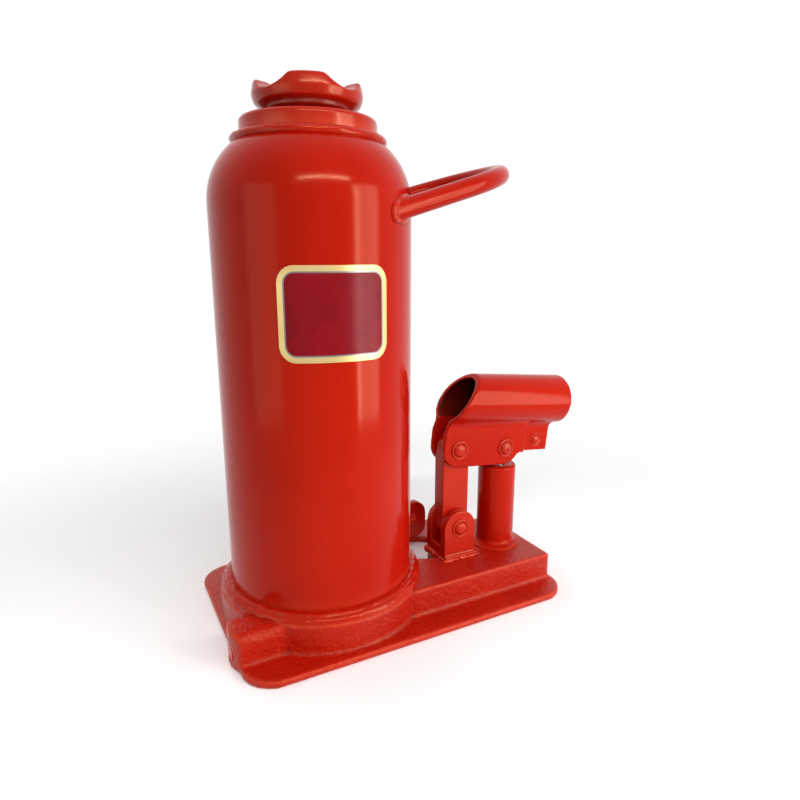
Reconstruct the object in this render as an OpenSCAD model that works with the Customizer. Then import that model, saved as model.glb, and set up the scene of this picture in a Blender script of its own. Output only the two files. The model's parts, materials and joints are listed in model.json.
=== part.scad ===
// Hydraulic bottle jack. A welded oil tank stands on a cast base, a lever pump stands beside it,
// and the load rises on a ram with an extension screw inside it.
// Millimetres. The origin is on the floor under the ram axis, +Z is up, +X points to the pump.

/* [Base casting] */
// Base plate, from the ram axis to its left end
base_left = 67.3; // [66:0.1:80]
// Base plate, from the block's right end to its own
base_lip = 3.8; // [2:0.1:20]
// Base plate, half of its width
base_half_w = 71; // [68:0.5:90]
// Corner radius of the base plate
base_corner_r = 20; // [5:0.5:30]
// Thickness of the base plate
plate_t = 4.3; // [3:0.1:5]
// Height of the raised casting above the floor
casting_h = 22; // [21.5:0.1:26]
// Margin of the round casting around the tank
ring_margin = 7.35; // [6.5:0.05:9]
// Pump block, from the pump axis to its right end
block_end = 20.2; // [18:0.1:30]
// Pump block, half of its width
block_half_w = 36.4; // [34:0.1:50]
// Radius of the window between the tank and the pump
window_r = 33.5; // [26:0.5:35]
// Window centre, along X from the ram axis
window_x = 81; // [76:0.5:84]
// Window centre, along Y from the ram axis
window_y = 13; // [8:0.5:16]

/* [Oil tank] */
// Outside diameter of the tank
tank_od = 114.3; // [112:0.1:122]
// Wall of the tank
tank_wall = 4.5; // [3:0.1:6]
// Length of the tank's straight wall
tank_straight_h = 228; // [215:1:280]
// Radius of the tank's rounded shoulder
shoulder_r = 41.5; // [39:0.5:44]
// Radius at which the shoulder meets the neck
neck_r = 42; // [40:0.1:44]
// Height of the neck lip above the shoulder
neck_lip_h = 4; // [3:0.5:8]
// Radius of the weld between tank and base
base_weld_r = 5.5; // [3:0.1:6]
// Radius of the bead round the neck
neck_bead_r = 2.4; // [1.5:0.1:3]

/* [Carry handle] */
// Diameter of the handle rod
handle_rod_d = 11; // [8:0.5:14]
// Half of the handle's width, between rod centres
handle_half_w = 45; // [38:0.5:48]
// Length of the handle's straight legs
handle_leg = 44; // [38:0.5:60]
// Rise of the handle, in degrees
handle_rise = 17; // [5:1:25]
// Height of the handle's roots below the tank's shoulder
handle_drop = 3.3; // [3:0.1:20]

/* [Lift] */
// Bore of the pressure cylinder
bore_d = 60; // [58:0.5:62]
// Wall of the pressure cylinder
cylinder_wall = 7; // [6:0.1:7.5]
// Depth of the cylinder's seat in the base
cylinder_seat = 11.5; // [9:0.1:12]
// Diameter of the ram
ram_d = 50; // [47:0.5:52]
// Travel of the ram
ram_lift = 185; // [150:1:200]
// Height of the ram above the gland nut
ram_proud = 2.5; // [1:0.1:6]
// Length of the piston land
piston_land = 14; // [8:0.5:20]
// Diameter of the extension screw
screw_d = 36; // [30:0.5:38]
// Travel of the extension screw
screw_lift = 80; // [50:1:85]
// Length of the ram's threaded nose
nose_l = 27.5; // [20:0.5:35]
// Height of the gland nut's collar
collar_h = 9; // [7:0.5:15]
// Radius of the gland nut's collar
collar_r = 38; // [37.5:0.1:40]
// Length of the guide bush
bush_l = 24; // [15:1:30]

/* [Saddle] */
// Largest radius of the saddle
saddle_r = 30.6; // [27:0.1:32]
// Height of the saddle
saddle_h = 15.4; // [15:0.1:25]
// Depth of the saddle's valleys
valley_d = 6.2; // [2:0.1:6.4]
// Radius of the saddle's valleys
valley_r = 16; // [10:0.5:17]
// Turn of the saddle's lobes about the ram axis, in degrees
lobe_turn = -20; // [-45:1:45]

/* [Pump] */
// Pump axis, along X from the ram axis
pump_x = 126; // [124:0.1:135]
// Pump axis, along Y from the ram axis
pump_y = -16; // [-17:0.1:-14]
// Outside diameter of the pump cylinder
pump_od = 26; // [25:0.1:27]
// Diameter of the plunger
plunger_d = 10.6; // [9.6:0.1:10.8]
// Gap between the pump cylinder and the socket's cheeks
pump_head_gap = 1.6; // [1:0.1:5]
// Height of the pump cylinder's foot
pump_foot_h = 3; // [1:0.1:6]

/* [Lever] */
// Distance between the link pin and the plunger pin on the socket
pin_spacing = 37.7; // [36:0.1:39]
// Slope of the socket at rest, in degrees
socket_tilt = 5.8; // [0:0.1:7]
// Height of the bracket's pin above the casting
bracket_pin_h = 21.5; // [19:0.1:30]
// Length of the link between its pins
link_l = 54.2; // [48:0.1:70]
// Width of the link
link_w = 20; // [18:0.1:22]
// Thickness of the link and the plunger's eye
link_t = 11; // [9:0.1:14]
// Diameter of the lever's pins
pin_d = 10; // [8:0.1:11]
// Radius of the bracket's ears
ear_r = 12; // [10:0.1:13]
// Thickness of each ear
ear_t = 6; // [4:0.1:7]
// Sheet of the socket
sheet_t = 3.2; // [2.5:0.1:4]
// Inside diameter of the socket's tube
socket_id = 28; // [26:0.1:30]
// Height of the tube's axis above the pins
tube_rise = 32.5; // [32:0.1:40]
// Socket, from the plunger pin to its right end
tube_reach = 47; // [44:0.5:70]
// Radius of the cheeks around the pins
cheek_r = 12.1; // [11:0.1:13]
// Slope of the cut at the tube's left end, in degrees
tube_cut = 57.6; // [50:0.1:75]
// Socket, from the plunger pin to the end of its pinched tab
tab_reach = 40; // [34:0.5:42]

/* [Release valve] */
// Release valve axis, along Y from the ram axis
release_y = 45; // [42:0.5:48]
// Release valve axis, above the floor
release_z = 20.5; // [20:0.1:24]
// Diameter of the release screw's stem
stem_d = 12; // [10:0.1:13]
// Half of the height of the release screw's wing
wing_r = 15; // [10:0.1:15.5]
// Length of the release screw's wing
wing_l = 20; // [15:0.5:30]

/* [Valves in the base] */
// Diameter of the check valves' bores
valve_d = 9; // [8:0.1:10]
// Height of the valves' bores above the floor
valve_z = 7; // [6:0.1:7.5]
// Diameter of the check balls
check_ball_d = 6; // [5:0.1:6.5]
// Relief valve axis, along Y from the ram axis
relief_y = -38; // [-42:0.5:-36]
// Half of the width of the relief valve's boss
relief_half_w = 12; // [10:0.5:14]
// Height of the relief valve's boss
relief_boss_h = 22.5; // [18:0.5:26]
// Relief valve's boss beyond the base plate's left end
relief_overhang = 3.2; // [1:0.1:8]

/* [Hidden] */
$fn = 64;

paint = [0.80, 0.11, 0.06];
steel = [0.72, 0.73, 0.75];
dark_steel = [0.42, 0.43, 0.45];
bronze = [0.70, 0.50, 0.25];
copper = [0.75, 0.42, 0.25];
rubber = [0.10, 0.10, 0.11];

// Fits
seat_fit = 0.05;
run_fit = 0.08;
side_fit = 0.3;
touch = 0.02;

// Tank and neck
tank_r = tank_od / 2;
tank_ir = tank_r - tank_wall;
ring_r = tank_r + ring_margin;
shoulder_z = casting_h + tank_straight_h;
shoulder_c = tank_r - shoulder_r;
neck_z = shoulder_z + sqrt(pow(shoulder_r, 2) - pow(neck_r - shoulder_c, 2));
collar_z = neck_z + neck_lip_h;
collar_top = collar_z + collar_h;
collar_edge_r = 2.5;

// Pressure cylinder
bore_r = bore_d / 2;
cylinder_r = bore_r + cylinder_wall;
seat_z = casting_h - cylinder_seat;
base_seal_t = 1.5;
base_seal_margin = 0.5;
cylinder_z = seat_z + base_seal_t;
annulus_r = (cylinder_r + tank_ir) / 2;

// Ram and its piston, from the bottom up
ram_r = ram_d / 2;
piston_core_r = 20;
floor_gap = 2.5;
retainer_t = 5;
retainer_r = piston_core_r + 6;
retainer_stud_r = 8;
retainer_stud_l = 14;
cup_h = 9;
backup_t = 4;
retainer_z = seat_z + floor_gap;
cup_z = retainer_z + retainer_t;
backup_z = cup_z + cup_h;
land_z = backup_z + backup_t;
piston_top = land_z + piston_land;
ram_top = collar_top + ram_proud;

// Gland
gland_z = piston_top + ram_lift + side_fit;
gland_bore_r = ram_r + 0.4;
bush_wall = 2;
wiper_h = 5.5;
wiper_w = 3;
gland_ring_r = 1.4;
gland_groove = 3;
gland_ring_z = collar_z - 12;

// Extension screw
screw_r = screw_d / 2;
thread_fit = 0.15;
ram_inner_r = screw_r + 2.2;
nose_z = ram_top - nose_l;
stop_ring_t = 4;
stop_ring_z = nose_z - screw_lift - side_fit - stop_ring_t;
stop_groove_r = screw_r - 3;
screw_end = 3;
screw_z = stop_ring_z - screw_end;
ram_floor_z = screw_z - 6;
saddle_z = ram_top + 0.5;
saddle_top = saddle_z + saddle_h;
screw_spigot_r = 12;
screw_spigot_h = 7;

// Saddle profile
saddle_foot_r = saddle_r - 8.6;
saddle_shelf_r = saddle_r - 1.5;
saddle_rim_r = saddle_r - 1.3;
dish_r = saddle_r - 10;
dish_floor_r = dish_r - 4;
saddle_shelf_h = 4;
saddle_belly_h = 8.5;
dish_floor_h = saddle_h - valley_d - 0.6;

// Filler plug
filler_drop = 28;
filler_z = shoulder_z - filler_drop;
filler_boss_r = 11;
filler_boss_l = 3;
filler_shank_r = 6;
filler_shank_l = 10;
filler_washer_t = 1.5;
filler_head_r = 9;
filler_head_h = 7;
filler_face = tank_r + filler_boss_l;

// Lever linkage
tube_ir = socket_id / 2;
tube_or = tube_ir + sheet_t;
cheek_in = link_t / 2 + side_fit;
cheek_out = cheek_in + sheet_t;
pin_r = pin_d / 2;
link_pin_z = casting_h + bracket_pin_h + link_l;
plunger_pin_z = link_pin_z - pin_spacing * sin(socket_tilt);
link_x = pump_x - pin_spacing * cos(socket_tilt);
bracket_pin_z = casting_h + bracket_pin_h;
link_open_fit = 1.7;
pin_head_r = pin_r + 1.4;
pin_head_h = 2.8;
rivet_r = 2.5;
rivet_head_r = 4.6;
rivet_head_h = 2;
rivet_u = tab_reach - 11.2;
rivet_v = 3.8;

// Bracket
bracket_gap = link_t + 2 * 0.5;
bracket_w = bracket_gap + 2 * ear_t;
bracket_floor = bracket_pin_z - link_w / 2 - 3;
bracket_foot_h = 2.5;
bracket_foot_out = 1.5;

// Socket sheet
tab_u = 17;
tab_bottom = -4.2;
tab_in = 2;
tab_out = tab_in + sheet_t;
fillet_r = 8;
fillet_v = tube_rise - sqrt(pow(tube_or + fillet_r, 2) - pow(cheek_out + fillet_r, 2));
tab_fillet_r = 10;
fillet_bite = 0.15;
tab_fillet_v = tube_rise - sqrt(pow(tube_or + tab_fillet_r, 2) - pow(tab_out + tab_fillet_r, 2));
cheek_left = pin_spacing + cheek_r;
cut_v = 11;
cut_bow_r = 90;

// Pump
pump_r = pump_od / 2;
plunger_r = plunger_d / 2;
pump_bore_r = plunger_r + run_fit;
pump_spigot_r = pump_r - 2;
pump_seat_z = casting_h - 9;
pump_gasket_t = 1;
chamber_z = valve_z - 2;
pump_top = plunger_pin_z - cheek_r - pump_head_gap;
pump_foot_r = pump_r + 4;
plunger_z = pump_seat_z + 1;
plunger_retainer_t = 2;
plunger_cup_h = 6;
plunger_backup_t = 2;
plunger_core_r = plunger_r - 3;
plunger_cup_z = plunger_z + plunger_retainer_t;
plunger_backup_z = plunger_cup_z + plunger_cup_h;
plunger_body_z = plunger_backup_z + plunger_backup_t;
eye_r = 9.5;
wiper_groove_r = plunger_r + 2;
plunger_wiper_h = 4;
plunger_wiper_z = pump_top - 6;
block_right = pump_x + block_end;
block_left_x = 40;
base_right = block_right + base_lip;

// Valves in the base
valve_r = valve_d / 2;
ball_r = check_ball_d / 2;
pilot_r = 2;
ball_seat = sqrt(pow(ball_r, 2) - pow(pilot_r, 2));
spring_gap = 0.2;
wire_r = 0.5;
spring_r = valve_r - 1.1;
inlet_offset = 23;
inlet_y = pump_y - inlet_offset;
discharge_y = pump_y - 8;
inlet_seat_x = pump_x - 14;
suction_x = sqrt(pow(annulus_r, 2) - pow(inlet_y, 2));
plug_l = 12;
plug_recess = 1;
inlet_plug_x = block_right - plug_recess - plug_l;
inlet_ball_x = inlet_seat_x + ball_seat;
inlet_spring_x = inlet_ball_x + ball_r + spring_gap;
strainer_r = 4.5;
strainer_h = 1.5;
discharge_seat_l = 6;
discharge_seat_in = 18;
discharge_seat_x = pump_x - discharge_seat_in;
discharge_ball_x = discharge_seat_x - ball_seat;
discharge_spring_l = 11.5;
discharge_end_x = discharge_ball_x - ball_r - discharge_spring_l - 2 * spring_gap;
chamber_port_x = sqrt(pow(bore_r - 3, 2) - pow(discharge_y, 2));
delivery_plug_l = block_right - pump_x - pump_bore_r - 2.5;

// Relief valve, from the seat out to the cap
relief_z = 8;
relief_r = 5;
relief_pilot_r = 1.5;
relief_ball_r = 2.5;
relief_end_x = -(base_left + relief_overhang);
relief_edge_r = 6;
relief_nose_r = relief_half_w + 6.3;
relief_seat_in = 26.5;
relief_seat_x = relief_end_x + relief_seat_in;
relief_ball_x = relief_seat_x - sqrt(pow(relief_ball_r, 2) - pow(relief_pilot_r, 2));
relief_guide_l = 4;
relief_spring_l = 7;
relief_adjuster_l = 4.5;
relief_cap_l = 4;
relief_guide_x = relief_ball_x - relief_ball_r - relief_guide_l;
relief_spring_x = relief_guide_x - spring_gap - relief_spring_l;
relief_adjuster_x = relief_spring_x - spring_gap - relief_adjuster_l;
relief_port = bore_r * 0.6;

// Release valve, from the seat out to the wing
release_boss_r = stem_d / 2 + 4.5;
release_in_x = block_left_x;
release_out_x = ring_r + 9.5;
release_seat_x = sqrt(pow(ring_r, 2) - pow(release_y - stem_d / 2, 2)) + 1.7;
release_bore_r = stem_d / 2 + run_fit;
release_ball_r = 4;
release_pilot_r = 2.5;
release_ball_x = release_seat_x + sqrt(pow(release_ball_r, 2) - pow(release_pilot_r, 2));
release_tip_x = release_ball_x + release_ball_r + touch;
release_ring_r = 1.2;
release_ring_x = release_out_x - 5;
wing_t = 6;
wing_x = release_out_x + 8;
release_drop_x = release_seat_x - 5;
release_port = bore_r * 0.6;
release_return = annulus_r * sqrt(0.5);

// Shared shapes

// Ring or solid of revolution between two heights about the Z axis
module ring(outer, inner, z0, z1) {
  rotate_extrude() translate([inner, z0]) square([outer - inner, z1 - z0]);
}

// Round bar along X from x0 to x1
module bar_x(r, x0, x1, y, z) {
  translate([x0, y, z]) rotate([0, 90, 0]) cylinder(r = r, h = x1 - x0);
}

// Round bar along Y from y0 to y1
module bar_y(r, x, y0, y1, z) {
  translate([x, y0, z]) rotate([-90, 0, 0]) cylinder(r = r, h = y1 - y0);
}

// Round hole from point p to point q, run past both by 1
module drill(r, p, q) {
  way = q - p;
  translate(p - way / norm(way)) rotate([0, acos(way[2] / norm(way)), atan2(way[1], way[0])])
    cylinder(r = r, h = norm(way) + 2);
}

// Upright hole that opens at the top and runs past a passage of radius r at point p
module riser(r, p) {
  translate(p - [0, 0, r + 1]) cylinder(r = r + 0.5, h = casting_h);
}

// Rectangle with round corners, from corner p to corner q
module round_rect(p, q, r) {
  translate([p[0] + r, p[1]]) square([q[0] - p[0] - 2 * r, q[1] - p[1]]);
  translate([p[0], p[1] + r]) square([q[0] - p[0], q[1] - p[1] - 2 * r]);
  for (x = [p[0] + r, q[0] - r], y = [p[1] + r, q[1] - r]) translate([x, y]) circle(r);
}

// Coil spring along X, from x = 0 to x = length
module coil_spring(mean_r, length, turns) {
  sides = 6;
  rings = 8 * turns;
  climb = (length - 2 * wire_r) / rings;
  points = [
    for (i = [0:rings], j = [0:sides - 1])
      let (turn = 360 * turns * i / rings, side = 360 * j / sides, r = mean_r + wire_r * cos(side))
        [wire_r + climb * i + wire_r * sin(side), r * cos(turn), r * sin(turn)]
  ];
  walls = [
    for (i = [0:rings - 1], j = [0:sides - 1])
      let (a = i * sides + j, b = i * sides + (j + 1) % sides)
        each [[a, b, a + sides], [b, b + sides, a + sides]]
  ];
  first = [for (j = [1:sides - 2]) [0, j + 1, j]];
  last = [for (j = [1:sides - 2]) [rings * sides, rings * sides + j, rings * sides + j + 1]];
  polyhedron(points, concat(walls, first, last));
}

// Domed head of a pin or rivet at y = 0, standing out along -Y
module pin_head(r, h) {
  rotate([90, 0, 0]) {
    cylinder(r = r, h = h / 2);
    translate([0, 0, h / 2]) cylinder(r1 = r, r2 = r - h / 2, h = h / 2);
  }
}

// Headed pin along Y through a stack of half width w
module headed_pin(r, head_r, head_h, w) {
  bar_y(r, 0, -w, w, 0);
  translate([0, -w, 0]) pin_head(head_r, head_h);
  mirror([0, 1, 0]) translate([0, -w, 0]) pin_head(head_r, head_h);
}

// Base casting

module plate_outline() {
  round_rect([-base_left, -base_half_w], [base_right, base_half_w], base_corner_r);
}

module block_outline() {
  translate([block_left_x, pump_y - block_half_w])
    square([block_right - block_left_x, 2 * block_half_w]);
}

// Window behind the bracket, bounded by the round casting and by the ground under bracket and pump
module window_outline() {
  bracket_left = link_x - ear_r;
  bracket_back = pump_y + bracket_w / 2 + touch;
  difference() {
    translate([window_x, window_y]) circle(window_r);
    circle(ring_r);
    translate([bracket_left, bracket_back - 2 * block_half_w])
      square([block_right - bracket_left, 2 * block_half_w]);
  }
}

// Boss of the relief valve, with rounded upper edges, standing out along -X
module relief_boss() {
  inner_x = relief_y;
  difference() {
    intersection() {
      translate([relief_end_x, 0, 0]) rotate([90, 0, 90]) linear_extrude(inner_x - relief_end_x)
        difference() {
          round_rect([relief_y - relief_half_w, -relief_edge_r],
                     [relief_y + relief_half_w, relief_boss_h], relief_edge_r);
          translate([relief_y - relief_half_w, -relief_edge_r])
            square([2 * relief_half_w, relief_edge_r]);
        }
      linear_extrude(relief_boss_h + 1) union() {
        translate([relief_end_x + relief_nose_r, relief_y]) circle(relief_nose_r);
        translate([relief_end_x + relief_nose_r, relief_y - relief_nose_r])
          square([inner_x - relief_end_x, 2 * relief_nose_r]);
      }
    }
    translate([0, 0, casting_h]) cylinder(r = ring_r, h = casting_h);
  }
}

// Boss of the release valve on its web, kept outside the tank's weld
module release_boss() {
  difference() {
    union() {
      bar_x(release_boss_r, release_in_x, release_out_x, release_y, release_z);
      translate([release_in_x, release_y - release_boss_r, 0])
        cube([release_out_x - release_in_x, 2 * release_boss_r, release_z]);
    }
    translate([0, 0, casting_h]) cylinder(r = ring_r, h = casting_h);
  }
}

module inlet_bores() {
  bar_x(valve_r, inlet_seat_x, block_right + 1, inlet_y, valve_z);
  bar_x(pilot_r, suction_x - 1, inlet_seat_x, inlet_y, valve_z);
  riser(pilot_r, [suction_x, inlet_y, valve_z]);
  bar_y(pilot_r, pump_x, inlet_y, pump_y, valve_z);
}

module discharge_bores() {
  bar_x(valve_r, discharge_end_x, block_right + 1, discharge_y, valve_z);
  bar_x(pilot_r, chamber_port_x - 1, discharge_end_x, discharge_y, valve_z);
  riser(pilot_r, [chamber_port_x, discharge_y, valve_z]);
}

module relief_bores() {
  pilot_end = [relief_seat_x + 10, relief_y, relief_z];
  port = [-relief_port, -relief_port, relief_z];
  bar_x(relief_r, relief_end_x - 1, relief_seat_x, relief_y, relief_z);
  bar_x(relief_pilot_r, relief_seat_x, pilot_end[0] + 0.5, relief_y, relief_z);
  drill(relief_pilot_r + 0.4, pilot_end, port);
  riser(relief_pilot_r + 0.4, port);
}

module release_bores() {
  low = [release_drop_x, release_y, valve_z];
  port = [release_port, release_port, valve_z];
  side = [release_ring_x - 5, release_y, release_z];
  back = [release_return, release_return, casting_h - 6];
  bar_x(release_bore_r, release_seat_x, release_out_x + 1, release_y, release_z);
  bar_x(release_pilot_r, release_drop_x - 1, release_seat_x, release_y, release_z);
  translate(low - [0, 0, pilot_r + 1])
    cylinder(r = release_pilot_r + 0.5, h = release_z - valve_z + 2 * release_pilot_r);
  drill(pilot_r, low, port);
  riser(pilot_r, port);
  drill(pilot_r, side, back);
  riser(pilot_r, back);
}

module base() {
  color(paint) difference() {
    union() {
      linear_extrude(plate_t) difference() {
        plate_outline();
        window_outline();
      }
      linear_extrude(casting_h) difference() {
        block_outline();
        window_outline();
      }
      cylinder(r = ring_r, h = casting_h);
      relief_boss();
      release_boss();
    }
    translate([0, 0, seat_z]) cylinder(r = cylinder_r + seat_fit, h = casting_h);
    translate([pump_x, pump_y, 0]) {
      translate([0, 0, pump_seat_z]) cylinder(r = pump_spigot_r + seat_fit, h = casting_h);
      translate([0, 0, chamber_z]) cylinder(r = pump_bore_r, h = casting_h);
    }
    inlet_bores();
    discharge_bores();
    relief_bores();
    release_bores();
  }
}

// Oil tank

// Half section of a shouldered shell of radius r whose shoulder has radius sr
module shell_section(r, sr) {
  translate([0, casting_h]) square([r, tank_straight_h]);
  translate([0, shoulder_z]) square([r - sr, sr]);
  intersection() {
    translate([r - sr, shoulder_z]) circle(sr);
    translate([r - sr, shoulder_z]) square([sr, sr]);
  }
}

module tank() {
  bead_r = neck_r - neck_bead_r / 2;
  color(paint) difference() {
    union() {
      rotate_extrude() difference() {
        union() {
          intersection() {
            shell_section(tank_r, shoulder_r);
            square([tank_r, neck_z]);
          }
          translate([0, neck_z]) square([bead_r, neck_lip_h]);
          translate([bead_r, neck_z + neck_lip_h - neck_bead_r]) circle(neck_bead_r);
          intersection() {
            translate([tank_r + base_weld_r / 6, casting_h]) circle(base_weld_r);
            translate([tank_r - tank_wall / 2, casting_h]) square(2 * base_weld_r);
          }
        }
        shell_section(tank_ir, shoulder_r - tank_wall);
        square([cylinder_r + 2 * seat_fit, collar_top]);
      }
      bar_y(filler_boss_r, 0, tank_ir + tank_wall / 2, filler_face, filler_z);
    }
    bar_y(filler_shank_r + seat_fit, 0, 0, filler_face + 1, filler_z);
  }
}

module filler_washer() {
  color(copper) translate([0, filler_face, filler_z]) rotate([-90, 0, 0])
    ring(filler_head_r + 0.5, filler_shank_r + seat_fit, 0, filler_washer_t);
}

module filler_plug() {
  head_y = filler_face + filler_washer_t;
  color(paint) {
    bar_y(filler_shank_r, 0, head_y - filler_shank_l, head_y, filler_z);
    translate([0, head_y, filler_z]) rotate([-90, 0, 0])
      cylinder(r = filler_head_r, h = filler_head_h, $fn = 6);
  }
}

// Carry handle

module carry_handle() {
  rod_r = handle_rod_d / 2;
  root_x = sqrt(pow(tank_r, 2) - pow(handle_half_w, 2));
  color(paint) difference() {
    translate([root_x, 0, shoulder_z - handle_drop]) rotate([0, -handle_rise, 0]) {
      for (side = [-1, 1]) bar_x(rod_r, -handle_rod_d, handle_leg, side * handle_half_w, 0);
      translate([handle_leg, 0, 0]) rotate([0, 0, -90])
        rotate_extrude(angle = 180) translate([handle_half_w, 0]) circle(rod_r);
    }
    cylinder(r = tank_r + touch, h = collar_top);
  }
}

// Lift

module pressure_cylinder() {
  color(steel) ring(cylinder_r, bore_r, cylinder_z, collar_z);
}

module cylinder_base_seal() {
  color(copper)
    ring(cylinder_r - base_seal_margin, bore_r + base_seal_margin, seat_z, cylinder_z);
}

module gland_nut() {
  spigot_r = bore_r - seat_fit;
  color(paint) rotate_extrude() difference() {
    union() {
      translate([0, collar_z]) square([collar_r, collar_h - collar_edge_r]);
      translate([0, collar_z]) square([collar_r - collar_edge_r, collar_h]);
      translate([collar_r - collar_edge_r, collar_top - collar_edge_r]) circle(collar_edge_r);
      translate([0, gland_z]) square([spigot_r, collar_z - gland_z]);
    }
    translate([0, gland_z - 1]) square([gland_bore_r, collar_top - gland_z + 2]);
    translate([0, gland_z - 1]) square([ram_r + bush_wall + seat_fit, bush_l + 1]);
    translate([0, collar_top - wiper_h]) square([ram_r + wiper_w + seat_fit, wiper_h + 1]);
    translate([bore_r - gland_groove, gland_ring_z - gland_groove / 2])
      square([gland_groove, gland_groove]);
  }
}

module gland_o_ring() {
  color(rubber) rotate_extrude()
    translate([bore_r - gland_ring_r - touch, gland_ring_z]) circle(gland_ring_r);
}

module ram_wiper() {
  color(rubber) ring(ram_r + wiper_w, ram_r + run_fit, collar_top - wiper_h, collar_top - 0.5);
}

module ram_guide_bush() {
  color(bronze) ring(ram_r + bush_wall, ram_r + run_fit, gland_z, gland_z + bush_l);
}

module ram() {
  color(steel) rotate_extrude() difference() {
    union() {
      translate([0, cup_z]) square([piston_core_r, land_z - cup_z]);
      translate([0, land_z]) square([bore_r - run_fit, piston_land]);
      translate([0, piston_top]) square([ram_r, ram_top - piston_top]);
    }
    translate([0, cup_z - 1]) square([retainer_stud_r + seat_fit, retainer_stud_l + 2]);
    translate([0, ram_floor_z]) square([ram_inner_r, nose_z - ram_floor_z]);
    translate([0, nose_z - 1]) square([screw_r + thread_fit, nose_l + 2]);
  }
}

module piston_cup_seal() {
  lip = 4;
  color(rubber) rotate_extrude() difference() {
    translate([piston_core_r + seat_fit, cup_z])
      square([bore_r - run_fit - piston_core_r - seat_fit, cup_h]);
    translate([(piston_core_r + bore_r) / 2, cup_z]) circle(lip / 2);
  }
}

module piston_backup_ring() {
  color(bronze) ring(bore_r - run_fit, piston_core_r + seat_fit, backup_z, land_z);
}

module piston_retainer() {
  color(dark_steel) {
    translate([0, 0, retainer_z]) cylinder(r = retainer_r, h = retainer_t);
    translate([0, 0, cup_z]) cylinder(r = retainer_stud_r, h = retainer_stud_l);
  }
}

module extension_screw() {
  color(steel) rotate_extrude() {
    translate([0, screw_z]) square([screw_r, screw_end]);
    translate([0, stop_ring_z]) square([stop_groove_r, stop_ring_t]);
    translate([0, stop_ring_z + stop_ring_t])
      square([screw_r, saddle_z - stop_ring_z - stop_ring_t]);
    translate([0, saddle_z]) square([screw_spigot_r, screw_spigot_h]);
  }
}

module screw_stop_ring() {
  color(dark_steel) ring(ram_inner_r - side_fit, stop_groove_r + run_fit,
                         stop_ring_z + run_fit, stop_ring_z + stop_ring_t - run_fit);
}

module saddle() {
  rim_h = saddle_h - saddle_belly_h;
  color(paint) difference() {
    translate([0, 0, saddle_z]) {
      cylinder(r1 = saddle_foot_r, r2 = saddle_shelf_r, h = saddle_shelf_h);
      translate([0, 0, saddle_shelf_h])
        cylinder(r1 = saddle_shelf_r, r2 = saddle_r, h = saddle_belly_h - saddle_shelf_h);
      translate([0, 0, saddle_belly_h]) cylinder(r1 = saddle_r, r2 = saddle_rim_r, h = rim_h);
    }
    translate([0, 0, saddle_z + dish_floor_h])
      cylinder(r1 = dish_floor_r, r2 = dish_r, h = saddle_h - dish_floor_h + touch);
    translate([0, 0, saddle_z - 1]) cylinder(r = screw_spigot_r + seat_fit, h = screw_spigot_h + 1);
    for (turn = [45, 135]) rotate([0, 0, lobe_turn + turn])
      bar_x(valley_r, -saddle_r - 1, saddle_r + 1, 0, saddle_top + valley_r - valley_d);
  }
}

// Pump

module pump_cylinder() {
  spigot_z = pump_seat_z + pump_gasket_t;
  color(paint) translate([pump_x, pump_y, 0]) difference() {
    union() {
      translate([0, 0, spigot_z]) cylinder(r = pump_spigot_r, h = casting_h - spigot_z);
      translate([0, 0, casting_h]) cylinder(r = pump_r, h = pump_top - casting_h);
      translate([0, 0, casting_h]) cylinder(r1 = pump_foot_r, r2 = pump_r, h = pump_foot_h);
    }
    translate([0, 0, spigot_z - 1]) cylinder(r = pump_bore_r, h = pump_top);
    translate([0, 0, plunger_wiper_z]) cylinder(r = wiper_groove_r, h = plunger_wiper_h);
  }
}

module pump_gasket() {
  color(copper) translate([pump_x, pump_y, 0])
    ring(pump_spigot_r - 0.1, pump_bore_r, pump_seat_z, pump_seat_z + pump_gasket_t);
}

module pump_plunger() {
  shank_h = plunger_pin_z - plunger_body_z;
  color(steel) difference() {
    translate([pump_x, pump_y, 0]) union() {
      translate([0, 0, plunger_z]) cylinder(r = plunger_core_r, h = plunger_body_z - plunger_z);
      translate([0, 0, plunger_body_z]) cylinder(r = plunger_r, h = shank_h - eye_r + 2);
      bar_y(eye_r, 0, -link_t / 2, link_t / 2, plunger_pin_z);
    }
    bar_y(pin_r + run_fit, pump_x, pump_y - link_t, pump_y + link_t, plunger_pin_z);
  }
}

module plunger_cup_seal() {
  color(rubber) translate([pump_x, pump_y, 0])
    ring(plunger_r, plunger_core_r + seat_fit, plunger_cup_z, plunger_backup_z);
}

module plunger_backup_ring() {
  color(bronze) translate([pump_x, pump_y, 0])
    ring(plunger_r, plunger_core_r + seat_fit, plunger_backup_z, plunger_body_z);
}

module plunger_retainer() {
  color(dark_steel) translate([pump_x, pump_y, 0])
    ring(plunger_core_r + 2, plunger_core_r + seat_fit, plunger_z, plunger_cup_z);
}

module plunger_wiper() {
  color(rubber) translate([pump_x, pump_y, 0])
    ring(wiper_groove_r - seat_fit, plunger_r + run_fit,
         plunger_wiper_z, plunger_wiper_z + plunger_wiper_h);
}

// Lever linkage

module link_bracket() {
  color(paint) translate([link_x, pump_y, 0]) difference() {
    union() {
      translate([-ear_r, -bracket_w / 2, casting_h]) cube([2 * ear_r, bracket_w, bracket_pin_h]);
      bar_y(ear_r, 0, -bracket_w / 2, bracket_w / 2, bracket_pin_z);
      translate([-ear_r, -bracket_w / 2 - bracket_foot_out, casting_h])
        cube([2 * ear_r + bracket_foot_out, bracket_w + bracket_foot_out, bracket_foot_h]);
    }
    translate([-2 * ear_r, -bracket_gap / 2, bracket_floor])
      cube([4 * ear_r, bracket_gap, bracket_pin_h + 2 * ear_r]);
    bar_y(pin_r + seat_fit, 0, -bracket_w, bracket_w, bracket_pin_z);
  }
}

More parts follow.
